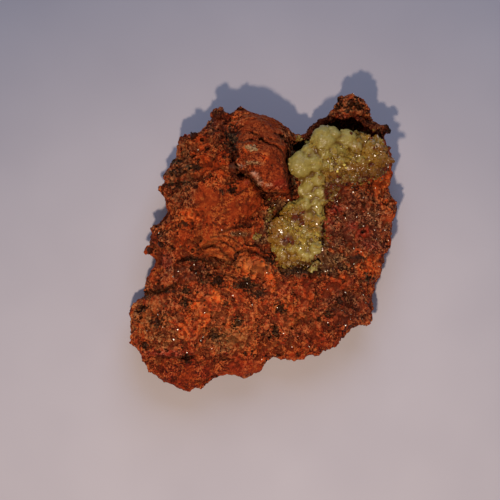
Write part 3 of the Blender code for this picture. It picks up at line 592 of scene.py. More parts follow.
# %% Plates and flakes
# A plate is (height, width of its edge, outline).
PLATES = [
    (0.9, 0.3, [
        (-5.9, 26.0), (-2.4, 25.7), (1.1, 25.0), (3.6, 23.7), (5.1, 22.0), (5.6, 19.2), (4.5, 17.7),
        (4.7, 16.2), (4.5, 13.7), (5.1, 11.7), (5.6, 9.7), (3.6, 9.5), (1.1, 9.7), (-0.9, 9.7),
        (-1.7, 11.2), (-2.9, 12.5), (-4.4, 13.5), (-5.7, 14.0), (-6.2, 15.7), (-4.9, 16.7),
        (-5.4, 18.7), (-6.9, 19.7), (-7.9, 21.2), (-8.4, 22.7), (-6.9, 23.7),
    ]),
    (0.45, 0.25, [
        (-5.9, 26.0), (-2.4, 25.7), (1.1, 25.0), (3.6, 23.7), (5.1, 22.0), (5.6, 19.2), (4.5, 18.0),
        (3.1, 18.7), (1.1, 19.0), (-0.9, 20.5), (-2.9, 21.7), (-5.4, 22.2), (-6.9, 23.7),
    ]),
    (0.8, 0.3, [
        (-11.9, -1.8), (-9.9, -0.8), (-7.9, -0.5), (-5.9, -1.8), (-4.9, -3.3), (-2.9, -2.5),
        (-0.9, -2.3), (0.3, -3.3), (0.1, -5.3), (-1.9, -4.8), (-3.9, -6.0), (-5.4, -4.8), (-7.4, -3.8),
        (-9.4, -3.3), (-11.4, -3.3),
    ]),
    (0.6, 0.3, [
        (-4.9, -3.6), (-2.9, -3.0), (-0.4, -3.0), (0.9, -4.3), (1.9, -5.8), (2.2, -8.6), (0.6, -9.0),
        (-0.4, -7.0), (-1.9, -6.4), (-3.9, -5.8), (-5.2, -4.8),
    ]),
    (0.7, 0.3, [
        (-27.4, -12.3), (-24.4, -11.0), (-21.9, -10.4), (-19.4, -9.6), (-17.4, -8.6), (-15.9, -9.3),
        (-14.9, -8.0), (-12.4, -7.6), (-10.4, -9.0), (-8.4, -10.8), (-9.9, -14.8), (-13.9, -19.8),
        (-21.9, -20.3), (-26.9, -18.3),
    ]),
]
FLAKES = [(-1.7, 12.5, 0.55, 0.5), (-1.3, 11.6, 0.45, 0.5), (3.2, 11.2, 1.3, 0.35), (7.1, 20.5, 0.9, 0.6)]
print(len(PLATES), "plates and", len(FLAKES), "flakes")

# %% How far a point is from a mark
SHAKE = 0.2 * MM  # how far a line wanders
SHAKE_SIZE = 0.9 * MM  # the length of its bends
FAR_AWAY = 50 * MM  # noise this far off is independent, so x and y are shaken each in its own way


def near_path(points, path):
    """Each point's distance to the path, seen from above."""
    path = np.array(path) * MM + LIST_ZERO
    runs = path[1:] - path[:-1]
    offsets = points[:, None, :2] - path[:-1]
    share = np.clip((offsets * runs).sum(2) / (runs**2).sum(1), 0, 1)
    gaps = offsets - share[:, :, None] * runs
    return np.hypot(gaps[:, :, 0], gaps[:, :, 1]).min(1)


def inside(points, outline):
    """Which points lie inside the outline, seen from above."""
    corners = np.array(outline) * MM + LIST_ZERO
    crossed = np.zeros(len(points), bool)
    for start, end in zip(corners, np.roll(corners, -1, axis=0)):
        between = (start[1] > points[:, 1]) != (end[1] > points[:, 1])
        rise = end[1] - start[1] or 1e-12  # a level side is never crossed, but it may not divide by 0
        edge_x = start[0] + (points[:, 1] - start[1]) / rise * (end[0] - start[0])
        crossed ^= between & (points[:, 0] < edge_x)
    return crossed


def around(points, x, y, radius):
    """Each point's distance to a spot, seen from above, in radii."""
    across = points[:, :2] - LIST_ZERO
    return np.hypot(across[:, 0] - x * MM, across[:, 1] - y * MM) / (radius * MM)


def shaken(points):
    """The points with ragged coordinates, for cracks that wander."""
    moved = points.copy()
    for axis in (0, 1):
        moved[:, axis] += SHAKE * fractal(points + axis * FAR_AWAY, SHAKE_SIZE, 2)
    return moved


zero = np.zeros((1, 3))
print("the deep crack is", round(near_path(zero, CRACKS[0][2])[0] / MM, 1), "mm from the frame's zero")

# %% Put the marks in
MOAT_WIDTH = 1.1 * MM  # of the low ground round a plate
MOAT_SHARE = 0.45  # of a plate's height: how far the low ground goes down
RAISED_SHARE = 0.55  # and how far the plate goes up
PIT_RAGGEDNESS = 2.2
PIT_GRAIN = 0.42 * MM

points = points_of(rock)
upward = np.clip(normals_of(rock)[:, 2] * 1.6, 0, 1)  # marks are put in from above
wandering = shaken(points)
sink = np.zeros(len(points))
in_mark = np.zeros(len(points))
in_pit = np.zeros(len(points))
ragged = np.clip(1 + PIT_RAGGEDNESS * fractal(points, PIT_GRAIN, 2), 0.5, 4)
for half_width, depth, path in CRACKS:
    away = near_path(wandering, path) / (half_width * MM)
    sink += depth * MM * np.exp(-(away**2))
    in_mark = np.maximum(in_mark, np.exp(-(away**2)))
for x, y, radius, depth in PITS:
    spot = np.exp(-((around(points, x, y, 1.25 * radius) * ragged) ** 6))
    sink += depth * MM * spot
    in_pit = np.maximum(in_pit, spot)
for x, y, radius, height in FLAKES:
    sink -= height * MM * np.exp(-(around(wandering, x, y, radius) ** 4))
for height, edge, outline in PLATES:
    away = near_path(wandering, outline + outline[:1])
    rise = np.clip(np.where(inside(wandering, outline), away, -away) / (edge * MM) + 0.5, 0, 1)
    moat = (1 - rise) * np.exp(-((away / MOAT_WIDTH) ** 2))
    # The last two factors round the slope at its foot and at its top.
    sink += height * MM * (MOAT_SHARE * moat - RAISED_SHARE * rise * rise * (3 - 2 * rise))
points[:, 2] -= sink * upward
move_points(rock, points)
print("deepest mark", round(sink.max() / MM, 2), "mm")

# %% [markdown]
# ## Small open pits
#
# Limonite is full of small holes where grains have fallen out or a mineral has dissolved.
# There are too many to name, so their places are drawn at random: more of them in the brown
# and olive parts, hardly any on the smooth plates. A search tree finds the nearest hole to
# each point of the mesh, and the points inside one are moved inwards.

# %% Small open pits
VUG_SEED = 5
VUG_COUNT = 460
VUG_RADII = (0.18, 0.5)  # millimetres
VUG_DEPTH = 0.75 * MM
PITTED_ABOVE = 4 * MM

dice = np.random.default_rng(VUG_SEED)
covers = finishes_at(points)
pitted = np.clip(0.35 + covers["umber_and_wall_shade"] + 0.6 * covers["olive"] + 0.5 * covers["soot_and_shade"], 0, 1.4)
pitted *= np.clip(1 - 0.9 * covers["plate_red"] - 0.85 * covers["brick"], 0, 1)
pitted *= upward * (points[:, 2] > PITTED_ABOVE)
vug_at = points[dice.choice(len(points), VUG_COUNT, p=pitted / pitted.sum())]
vug_radius = dice.uniform(*VUG_RADII, VUG_COUNT) * MM
tree_of_vugs = kdtree.KDTree(VUG_COUNT)
for number, place in enumerate(vug_at):
    tree_of_vugs.insert(Vector(place), number)
tree_of_vugs.balance()
in_vug = np.zeros(len(points))
for index, place in enumerate(wandering):
    _, number, gap = tree_of_vugs.find(Vector(place))
    in_vug[index] = math.exp(-((gap / vug_radius[number]) ** 4))
points = points - normals_of(rock) * (VUG_DEPTH * in_vug)[:, None]
move_points(rock, points)
print("points in small pits:", int((in_vug > 0.5).sum()))

# %% [markdown]
# ## Dirt and painted shade in the hollows
#
# The creases of rock and crust are painted darker. That is partly dust and dark oxide and
# partly painted shade, because light reaches into the creases and the lamps leave them less dark.
# The tops of the crust are painted paler, which is a painted highlight. How hollow the surface
# is at a point comes from the mesh: the points are averaged with their neighbours a few times,
# and a point that lies below that average is in a hollow.

# %% How hollow the surface is
CREASE_DEPTH = 0.16 * MM  # a point this far below its surroundings is as dark as it gets


def neighbour_average(points, edges, rounds):
    """The points after each has been averaged with its neighbours, several times over."""
    count = np.bincount(edges.ravel(), minlength=len(points))[:, None]
    for _ in range(rounds):
        total = np.zeros_like(points)
        for axis in range(3):
            total[:, axis] = np.bincount(edges[:, 0], points[edges[:, 1], axis], len(points))
            total[:, axis] += np.bincount(edges[:, 1], points[edges[:, 0], axis], len(points))
        points = (points + total / count) / 2
    return points


def hollowness(piece, rounds):
    """How far each point lies below its surroundings, in metres."""
    edges = np.empty(len(piece.data.edges) * 2, np.int32)
    piece.data.edges.foreach_get("vertices", edges)
    points = points_of(piece)
    average = neighbour_average(points, edges.reshape(-1, 2), rounds)
    return ((average - points) * normals_of(piece)).sum(1)


def store(piece, name, values):
    """Keeps one number for each point of the piece, for its material to read."""
    attribute = piece.data.attributes.get(name) or piece.data.attributes.new(name, "FLOAT", "POINT")
    attribute.data.foreach_set("value", np.asarray(values, np.float32))


fine_hollows = hollowness(rock, 8)
broad_hollows = hollowness(rock, 60)
# How hollow a point is sets how dark it is painted: dust and dark oxide, and painted shade.
crease = np.clip(0.85 * fine_hollows / CREASE_DEPTH, 0, 1)
crease += np.clip(broad_hollows / (3 * CREASE_DEPTH), 0, 1)
print("in creases:", round(100 * (crease > 0.5).mean()), "% of the points")

# %% Store the finishes on the lump
MIDDLE_TONE = 0.5
TONE_EDGE = (0.5, 0.8, 1.3 * MM)  # softness, raggedness and the size of the rags
# Painted shade: the walls are painted darker than the top, where they turn away from the light.
PAINTED_WALL_DARKENING = 0.12  # how much darker the walls are than the top

rock_values = {**finishes_at(points_of(rock)), "crease": np.clip(crease, 0, 1)}
rock_values["crumbly"] = crumbliness_at(points)
rock_values["tone"] = MIDDLE_TONE + 0.15 * (USUAL_CRUMBLINESS - rock_values["crumbly"])
for *oval, paler in TONES:
    rock_values["tone"] += paler * cover(points, [oval], *TONE_EDGE)
for finish in ("soot_and_shade", "olive", "drab"):
    rock_values[finish] *= np.clip(2 * upward, 0.1, 1)  # these lie on top, none runs down a wall
# The pits, the small pits and the cracks are painted black as well: painted shade in them.
dark_places = [rock_values["soot_and_shade"], 0.95 * in_vug, 0.95 * in_pit, 0.45 * in_mark]
rock_values["soot_and_shade"] = np.max(dark_places, axis=0)
# Painted shade on the walls: they are painted dark brown and darker, where they turn away from the light.
wall_shade_mask = np.clip((0.5 - normals_of(rock)[:, 2]) / 0.4, 0, 1)
rock_values["umber_and_wall_shade"] = np.maximum(rock_values["umber_and_wall_shade"], 0.85 * wall_shade_mask)
rock_values["tone"] -= PAINTED_WALL_DARKENING * wall_shade_mask
for name, values in rock_values.items():
    store(rock, name, values)
print("attributes:", sorted(rock_values))

# %% [markdown]
# ## Limonite
#
# Limonite is a mix of iron hydroxides, mostly goethite, weathered out of other ores. Where it
# is earthy it is matt and bright, yellow-brown to rust red. Where it is dense it is darker,
# purple-brown to black, with a dull gloss. Its grains and specks are 0.2 to 0.6 mm across, so
# its colour comes from noise and cells of those sizes. They add up to one number, the tone:
# how pale the rock is at a spot. Each finish has its own ramp from its darkest to its palest
# grain, and the attributes choose between the ramps. Firm patches have fewer specks.

# %% Colours of each finish, from its darkest to its palest grain
GRAIN_COLOURS = {
    "rust": ["#40150a", "#9e3210", "#be4417", "#e07e40"],
    "plate_red": ["#642212", "#963614", "#aa4018", "#ca622e"],
    "brick": ["#6e2610", "#a03814", "#b44418", "#d4702f"],
    "fox_orange": ["#822810", "#e24a14", "#f86220", "#fa8c40"],
    "ochre": ["#3c140a", "#b03a13", "#d6511a", "#e88642"],
    "russet": ["#3c120a", "#982d13", "#b4401b", "#d87a42"],
    "drab": ["#2c130a", "#903e18", "#b05624", "#d09054"],
    "umber_and_wall_shade": ["#2a0f0a", "#822b12", "#ae461d", "#cc804a"],
    "plum": ["#2c0f09", "#722812", "#963e1c", "#c88656"],
    "olive": ["#1c100a", "#582c16", "#804c26", "#c08c58"],
    "cherry": ["#50130d", "#962a14", "#b43c20", "#d87a54"],
    "salmon": ["#a04c2c", "#d47c50", "#eaa078", "#f6c8a0"],
    "soot_and_shade": ["#0c0806", "#1e120c", "#382214", "#7a5a38"],
}
STOPS = (0.22, 0.42, 0.58, 0.82)  # the tones that those four colours belong to
print(len(GRAIN_COLOURS), "finishes, the first one where there is no other")

# %% How pale the limonite is at each spot
GRAIN_SIZE = 0.5 * MM
FLECK_SIZE = 0.24 * MM
SPECK_SIZE = 0.23 * MM
MOTTLE_SIZE = 2.6 * MM
GRAIN_SHARE = 0.42  # each share is how far the tone goes up and down with that pattern
FLECK_SHARE = 1.4
FLECK_ZERO = -1.07
SPECK_SHARE = 0.46
MOTTLE_SHARE = 0.3
MOTTLE_ZERO = 0.095
PLACE_SHARE = 0.55  # of the tone that is stored on the mesh

limonite, tree, shader, place = new_material("limonite_weathered")
mottle = add_node(
    tree, "ShaderNodeTexNoise", {"Vector": place, "Scale": 1 / MOTTLE_SIZE, "Detail": 3.0, "Roughness": 0.6}
)
fleck = add_node(
    tree, "ShaderNodeTexNoise", {"Vector": place, "Scale": 1 / FLECK_SIZE, "Detail": 3.0, "Roughness": 0.65}
)
grain = add_node(tree, "ShaderNodeTexVoronoi", {"Vector": place, "Scale": 1 / GRAIN_SIZE})
grain_tone = add_node(tree, "ShaderNodeSeparateColor", {"Color": grain.outputs["Color"]}).outputs["Red"]
fleck_tone = add_node(
    tree, "ShaderNodeMath", {0: fleck.outputs["Fac"], 1: FLECK_SHARE, 2: FLECK_ZERO},
    operation="MULTIPLY_ADD",
).outputs[0]
mixed_tone = add_node(
    tree, "ShaderNodeMath", {0: grain_tone, 1: GRAIN_SHARE, 2: fleck_tone}, operation="MULTIPLY_ADD"
).outputs[0]
speck = add_node(tree, "ShaderNodeTexVoronoi", {"Vector": place, "Scale": 1 / SPECK_SIZE})
speck_tone = add_node(tree, "ShaderNodeSeparateColor", {"Color": speck.outputs["Color"]}).outputs["Green"]
specked_tone = add_node(
    tree, "ShaderNodeMath", {0: speck_tone, 1: SPECK_SHARE, 2: mixed_tone}, operation="MULTIPLY_ADD"
).outputs[0]
print("grains, flecks and specks take", len(tree.nodes), "nodes")


# %% Paler and darker by place
def read(tree, name):
    """The value of an attribute that the piece carries."""
    return add_node(tree, "ShaderNodeAttribute", attribute_name=name).outputs["Fac"]


mottled_tone = add_node(
    tree, "ShaderNodeMath", {0: mottle.outputs["Fac"], 1: MOTTLE_SHARE, 2: MOTTLE_ZERO},
    operation="MULTIPLY_ADD",
).outputs[0]
placed_tone = add_node(
    tree, "ShaderNodeMath", {0: read(tree, "tone"), 1: PLACE_SHARE, 2: mottled_tone},
    operation="MULTIPLY_ADD",
).outputs[0]
tone = add_node(
    tree, "ShaderNodeMath", {0: specked_tone, 1: read(tree, "crumbly"), 2: placed_tone},
    operation="MULTIPLY_ADD",
).outputs[0]
print("the whole tone takes", len(tree.nodes), "nodes")

# %% One ramp for each finish, and dark oxide and painted shade in the creases
# The colour of the creases stands for dust and dark oxide and for painted shade: creases are painted darker
# than the lamps make them.
CREASE_DIRT_AND_SHADE_COLOUR = "#3a180c"
CREASE_SHADE_DARKNESS = 0.7  # how much of that colour shows in the deepest creases

colour = None
for finish, shades in GRAIN_COLOURS.items():
    ramp = add_node(tree, "ShaderNodeValToRGB", {"Fac": tone}, stops=list(zip(STOPS, shades)))
    if colour is None:
        colour = ramp.outputs["Color"]
    else:
        blend = add_node(
            tree, "ShaderNodeMix", {0: read(tree, finish), 6: colour, 7: ramp.outputs["Color"]},
            data_type="RGBA",
        )
        colour = blend.outputs[2]
dirt_and_shade_amount = add_node(
    tree, "ShaderNodeMath", {0: read(tree, "crease"), 1: CREASE_SHADE_DARKNESS}, operation="MULTIPLY"
)
dirt_and_shade_blend = add_node(
    tree, "ShaderNodeMix", {0: dirt_and_shade_amount.outputs[0], 6: colour, 7: linear(CREASE_DIRT_AND_SHADE_COLOUR)}, data_type="RGBA"
)
tree.links.new(dirt_and_shade_blend.outputs[2], shader.inputs["Base Color"])
print("with its colours it has", len(tree.nodes), "nodes")

# %% Gloss and bump, and onto the lump
EARTHY_ROUGHNESS = 0.78
DENSE_ROUGHNESS = 0.4  # plum, olive and black parts, which have a dull gloss
LIMONITE_SPECULAR = 0.15  # low, because loose grains hardly mirror anything
BUMP_STRENGTH = 0.8
BUMP_HEIGHT = 0.14 * MM

gloss = add_node(
    tree, "ShaderNodeMath", {0: read(tree, "plum"), 1: read(tree, "olive")}, operation="MAXIMUM"
).outputs[0]
gloss = add_node(tree, "ShaderNodeMath", {0: gloss, 1: read(tree, "soot_and_shade")}, operation="MAXIMUM").outputs[0]
rough = add_node(
    tree, "ShaderNodeMapRange", {"Value": gloss, "To Min": EARTHY_ROUGHNESS, "To Max": DENSE_ROUGHNESS}
)
tree.links.new(rough.outputs["Result"], shader.inputs["Roughness"])
shader.inputs["Specular IOR Level"].default_value = LIMONITE_SPECULAR
bump = add_node(
    tree, "ShaderNodeBump", {"Height": mixed_tone, "Strength": BUMP_STRENGTH, "Distance": BUMP_HEIGHT}
)
tree.links.new(bump.outputs["Normal"], shader.inputs["Normal"])
rock.data.materials.append(limonite)
select_only(rock)
bpy.ops.object.shade_smooth()
rock.vertex_groups.clear()
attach(rock, "root")
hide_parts("matrix")
print("limonite has", len(tree.nodes), "nodes")


# %% [markdown]
# ## Grains
#
# Up close the granular parts are a crumb of single grains, 0.2 to 0.6 mm across. They could be
# instances, but those don't leave Blender as a mesh. So one grain is modelled, and a small
# function copies its points many times into one joined mesh: each copy stands on the surface
# at its own place, axis, size and turn, and takes the finishes of the rock under it. Crystals
# of adamite are small prisms, and one of them is modelled here as well.

# %% One grain and one crystal, modelled once
def model_of(piece):
    """A finished model's points and faces, as arrays, and its object removed."""
    points = points_of(piece)
    faces = [tuple(polygon.vertices) for polygon in piece.data.polygons]
    bpy.data.objects.remove(piece)
    return points, faces


def make_grain():
    """A blunt lump of twenty faces, 1 across."""
    bpy.ops.object.select_all(action="DESELECT")
    bpy.ops.mesh.primitive_ico_sphere_add(subdivisions=1, radius=0.5)
    bpy.ops.object.mode_set(mode="EDIT")
    bpy.ops.transform.vertex_random(offset=0.12, uniform=1.0, seed=4)
    bpy.ops.object.mode_set(mode="OBJECT")
    return model_of(bpy.context.object)


def make_crystal():
    """A short prism with a flat top between sloping faces, 1 across, standing on z = 0."""
    bpy.ops.object.select_all(action="DESELECT")
    bpy.ops.mesh.primitive_cube_add(size=1, location=(0, 0, 0.3))
    crystal = bpy.context.object
    bpy.ops.object.transform_apply(location=True)
    for polygon in crystal.data.polygons:
        polygon.select = polygon.normal.z > 0.9
    bpy.ops.object.mode_set(mode="EDIT")
    bpy.ops.mesh.select_mode(type="FACE")
    bpy.ops.mesh.extrude_region_move(TRANSFORM_OT_translate={"value": (0.06, 0, 0.3)})
    bpy.ops.transform.resize(value=(0.5, 0.72, 1.0))
    bpy.ops.object.mode_set(mode="OBJECT")
    return model_of(crystal)


GRAIN_MODEL = make_grain()
CRYSTAL_MODEL = make_crystal()
print("a grain has", len(GRAIN_MODEL[1]), "faces and a crystal", len(CRYSTAL_MODEL[1]))


# %% Scatter copies over a surface
def scatter(host, count, weight, dice):
    """Random places on the host, denser where the weight is high, each with its normal and point."""
    host.data.calc_loop_triangles()
    flat = np.empty(len(host.data.loop_triangles) * 3, np.int32)
    host.data.loop_triangles.foreach_get("vertices", flat)
    triangles = flat.reshape(-1, 3)
    corners = points_of(host)[triangles]
    across = np.cross(corners[:, 1] - corners[:, 0], corners[:, 2] - corners[:, 0])
    area = np.linalg.norm(across, axis=1)
    chance = area * weight[triangles].mean(1)
    chosen = dice.choice(len(triangles), count, p=chance / chance.sum())
    share = dice.random((count, 2))
    share = np.where(share.sum(1, keepdims=True) > 1, 1 - share, share)
    start = corners[chosen, 0]
    second, third = corners[chosen, 1], corners[chosen, 2]
    places = start + share[:, :1] * (second - start) + share[:, 1:] * (third - start)
    return places, across[chosen] / area[chosen, None], triangles[chosen, 0]


def unit(vectors):
    """The vectors with a length of 1."""
    return vectors / np.linalg.norm(vectors, axis=1, keepdims=True)


def joined_copies(name, model, places, axes, sizes, stretches, turns, values):
    """One mesh of many copies of a model. Each copy's Z runs along its axis."""
    model_points, model_faces = model
    helper = np.where(np.abs(axes[:, 2:]) < 0.9, (0.0, 0.0, 1.0), (1.0, 0.0, 0.0))
    side = unit(np.cross(helper, axes))
    other = np.cross(axes, side)
    first = np.cos(turns)[:, None] * side + np.sin(turns)[:, None] * other
    turned = np.stack([first, np.cross(axes, first), axes], axis=1)
    local = model_points[None] * (stretches * sizes[:, None])[:, None, :]
    points = (local @ turned + places[:, None, :]).reshape(-1, 3)
    step = len(model_points)
    starts = range(0, step * len(places), step)
    faces = [tuple(start + corner for corner in face) for start in starts for face in model_faces]
    mesh = bpy.data.meshes.new(name)
    mesh.from_pydata(points.tolist(), [], faces)
    piece = bpy.data.objects.new(name, mesh)
    bpy.context.scene.collection.objects.link(piece)
    for attribute, numbers in values.items():
        store(piece, attribute, np.repeat(numbers, step))
    return piece


print("a copy of the grain has", len(GRAIN_MODEL[0]), "points and one of the crystal", len(CRYSTAL_MODEL[0]))

# %% Grains on the lump
GRAIN_SEED = 11
GRAIN_COUNT = 6000
OXIDE_COUNT = 1500
LOWEST_GRAIN = 2.5 * MM  # no grain lies where it would reach the table

dice = np.random.default_rng(GRAIN_SEED)
rock_points = points_of(rock)
upward = np.clip(normals_of(rock)[:, 2] + 0.35, 0.0, 1)
off_floor = rock_points[:, 2] > LOWEST_GRAIN
granular = np.clip(1 - 0.93 * rock_values["plate_red"] - 0.85 * rock_values["brick"], 0, 1)
loose = granular * upward * off_floor * rock_values["crumbly"] ** 2


def grains(name, count, weight, size_range, tone_range, sink):
    """A crumb of grains on the lump, in the finishes of the rock under them."""
    places, normals, under = scatter(rock, count, weight, dice)
    sizes = dice.uniform(*size_range, count) * MM
    axes = unit(normals + 0.5 * dice.normal(size=(count, 3)))
    stretches = dice.uniform(0.65, 1.2, (count, 3))
    turns = dice.uniform(0, math.tau, count)
    values = {finish: rock_values[finish][under] for finish in FINISHES}
    values["tone"] = rock_values["tone"][under] + dice.uniform(*tone_range, count)
    # Each grain keeps some of the painted shade and dark oxide of the hollow under it.
    values["crease"] = rock_values["crease"][under] * 0.4
    values["crumbly"] = rock_values["crumbly"][under]
    places = places - normals * (sizes * sink)[:, None]
    piece = joined_copies(name, GRAIN_MODEL, places, axes, sizes, stretches, turns, values)
    piece.data.materials.append(limonite)
    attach(piece, "root")
    print(name, triangle_count(piece), "triangles")
    return piece


grains("limonite_grains", GRAIN_COUNT, loose, (0.25, 0.6), (-0.4, 0.45), 0.2)
blackness = (rock_values["soot_and_shade"] + 0.12 * granular + 0.25 * rock_values["umber_and_wall_shade"]) * upward * off_floor
oxide_grains = grains("oxide_grains", OXIDE_COUNT, blackness, (0.2, 0.55), (-0.4, 0.0), 0.1)
store(oxide_grains, "soot_and_shade", np.ones(len(oxide_grains.data.vertices)))

# %% [markdown]
# ## The adamite crust
#
# Adamite is a zinc arsenate. Here it fills a hollow with a crust of rounded lobes, up to 5 mm
# across. At the far left they are milky and their fibres end in low fans. Towards the right
# and the near end they turn into clear, sharp little crystals. Single balls would look like
# beads on a string, so the lobes are made as the knobs of the lump are: balls are joined to
# the copied mesh, which is rebuilt as one skin, smoothed, and displaced by Voronoi cells.
# Where the crust is milky, amber, stained by the rock or spotted with rust is given by soft
# ovals again.

# %% Finishes of the crust, as (x, y, reach along x, reach along y)
CRUST_FINISHES = {
    "milky": [
        (12.2, 20.6, 3.9, 3.1), (8.0, 15.6, 4.0, 4.4), (16.4, 20.6, 2.6, 2.2), (9.0, 10.0, 3.4, 3.6),
        (9.6, 6.2, 2.6, 1.8), (9.0, -2.4, 3.0, 1.2), (-0.3, 0.4, 1.4, 1.0),
    ],
    "amber": [
        (23.0, 16.4, 3.6, 3.6), (18.0, 13.2, 4.6, 2.4), (20.5, 19.0, 3.0, 2.4), (2.4, 3.6, 2.0, 4.0),
        (0.6, 0.2, 2.4, 1.4), (9.4, 3.4, 2.4, 1.6), (13.8, 12.4, 2.4, 1.6), (4.2, -3.0, 3.0, 1.0),
    ],
    "stained": [
        (15.4, 12.2, 3.2, 1.8), (20.4, 14.0, 4.0, 1.6), (13.4, 9.4, 1.6, 2.0), (24.2, 15.6, 1.6, 2.0),
        (6.6, 5.2, 1.8, 1.6), (4.2, 0.2, 2.2, 1.4), (22.9, 18.4, 1.6, 0.7), (1.2, 3.4, 1.0, 3.6),
        (7.0, -4.2, 4.0, 0.6),
    ],
    "iron": [
        (6.4, 4.6, 0.95, 1.0), (7.3, 3.6, 0.5, 0.5), (4.2, 0.3, 1.05, 0.8), (5.3, -0.2, 0.7, 0.6),
        (7.4, 5.8, 0.6, 0.5), (16.4, 10.8, 2.6, 1.1), (20.8, 12.4, 2.6, 1.0), (23.8, 13.7, 1.6, 0.9),
        (-1.2, 0.8, 0.6, 0.6), (12.4, 9.6, 0.8, 1.6), (25.0, 18.0, 0.8, 1.6), (2.0, 5.4, 0.8, 1.0),
        (11.6, 0.8, 0.6, 1.6), (14.9, 12.6, 0.5, 0.4), (13.2, 11.2, 0.7, 0.5), (21.0, 15.2, 0.6, 0.35),
    ],
}
CRUST_EDGE = (0.35, 0.4, 0.6 * MM)  # softness, raggedness and the size of the rags
FAN_EDGE = (0.35, 0.4, 1.3 * MM)
print({finish: len(ovals) for finish, ovals in CRUST_FINISHES.items()})

# %% Lobes of the crust
LOBE_STANDS_OUT = 0.36  # a lobe's top stands this much of its radius out of the crust
LOBE_FLATNESS = 0.62  # its height as a share of its width
# A lobe is (x, y, radius), in millimetres.
LOBES = [
    (11.7, 20.2, 2.7), (13.2, 21.0, 1.9), (16.2, 20.3, 2.1), (7.1, 15.1, 2.7), (8.9, 17.5, 2.0),
    (6.4, 13.2, 2.0), (9.9, 15.6, 2.1), (11.9, 17.3, 1.8), (9.1, 12.2, 2.0), (13.6, 18.2, 1.6),
    (15.1, 16.2, 1.5), (16.3, 14.5, 1.3), (14.1, 14.7, 1.5), (12.3, 15.2, 1.4), (18.1, 18.7, 1.4),
    (19.6, 20.2, 1.3), (21.1, 18.7, 1.3), (22.6, 19.7, 1.1), (23.8, 18.2, 1.1), (21.3, 16.7, 1.1),
    (19.1, 16.2, 1.3), (22.6, 16.2, 1.2), (24.6, 16.2, 0.9), (17.6, 12.7, 1.1), (19.8, 13.7, 1.0),
    (21.8, 14.0, 0.9), (8.8, 11.2, 1.8), (10.6, 12.2, 1.5), (9.1, 9.2, 1.6), (11.1, 9.7, 1.4),
    (7.8, 7.2, 1.5), (10.1, 7.7, 1.4), (11.6, 8.2, 1.0), (6.1, 5.7, 1.6), (8.3, 4.7, 1.6),
    (10.6, 4.2, 1.3), (4.1, 7.2, 1.1), (3.1, 3.2, 1.8), (5.6, 2.2, 1.5), (8.1, 1.7, 1.6),
    (10.3, 1.7, 1.3), (3.6, 0.2, 1.6), (5.6, -1.3, 1.6), (8.1, -0.8, 1.6), (10.1, -1.3, 1.5),
    (3.6, -2.8, 1.4), (6.1, -3.3, 1.4), (8.6, -2.8, 1.4), (1.6, 2.2, 1.0), (2.1, -1.3, 1.1),
    (4.1, -4.3, 1.1), (-0.4, 0.4, 1.3), (-1.7, 1.2, 0.8),
]


def spot_under(piece, x, y):
    """Where a line straight down at a place of the lists first meets the piece, or None."""
    above = Vector((x * MM + LIST_ZERO[0], y * MM + LIST_ZERO[1], 1))
    found, spot, _, _ = piece.ray_cast(above, Vector((0, 0, -1)))
    return spot if found else None


def lobes_on(piece, lobes):
    """The balls that add_knobs takes, each standing out of the piece below its own place."""
    knobs = []
    for x, y, radius in lobes:
        spot = spot_under(piece, x, y)
        if spot is not None:
            middle = spot.z / MM - radius * (LOBE_FLATNESS - LOBE_STANDS_OUT)
            knobs.append((x, y, middle, radius, radius * LOBE_FLATNESS))
    return knobs


print(len(LOBES), "lobes, the widest", 2 * max(radius for _, _, radius in LOBES), "mm across")

# %% Rebuild the crust and its two buds
CRUST_VOXEL = 0.2 * MM
CRUST_SMOOTHINGS = 3
FINE_CREASE = 0.1 * MM  # as deep as this below the nearest points is as dark as it gets
BROAD_CREASE = 0.3 * MM
TOP_LIGHT_HEIGHT = 0.45 * MM  # as high as this above its surroundings is as pale as it gets

lobe_texture = new_texture("lobes", "VORONOI", 1.7 * MM, noise_intensity=1.0)
facet_texture = new_texture("facets", "VORONOI", 0.8 * MM, **creased)
fan_texture = new_texture("fans", "VORONOI", 1.9 * MM, **creased)


def adamite_mass(node, name):
    """A finer copy of a node of adamite, with its finishes stored on it."""
    piece = copy_of_node(node, name)
    add_knobs(piece, lobes_on(piece, LOBES))
    apply_modifier(piece, "REMESH", mode="VOXEL", voxel_size=CRUST_VOXEL)
    apply_modifier(piece, "SMOOTH", factor=0.5, iterations=CRUST_SMOOTHINGS)
    milky = cover(points_of(piece), CRUST_FINISHES["milky"], *FAN_EDGE)
    paint_group(piece, "fans", milky)
    paint_group(piece, "druse", 1 - 0.85 * milky)
    displace(piece, "fans", fan_texture, 0.42 * MM, 0.4)
    displace(piece, "druse", lobe_texture, -0.35 * MM, 0.4)
    displace(piece, "druse", facet_texture, 0.42 * MM, 0.4)
    points = points_of(piece)
    for finish, ovals in CRUST_FINISHES.items():
        store(piece, finish, cover(points, ovals, *CRUST_EDGE))
    fine_hollows = hollowness(piece, 10)
    broad_hollows = hollowness(piece, 80)
    # Painted shade in the hollows of the crust, and a painted highlight that makes its tops paler.
    store(piece, "crease", np.clip(0.5 * fine_hollows / FINE_CREASE + broad_hollows / BROAD_CREASE, 0, 1))
    store(piece, "paleness_and_top_light", np.clip(-broad_hollows / TOP_LIGHT_HEIGHT, 0, 1))
    piece.vertex_groups.clear()
    print(name, triangle_count(piece), "triangles")
    return piece


crust = adamite_mass("adamite_crust", "adamite_crust_crystals")
bud_south = adamite_mass("adamite_bud_south", "adamite_bud_south_crystals")
bud_north = adamite_mass("adamite_bud_north", "adamite_bud_north_crystals")

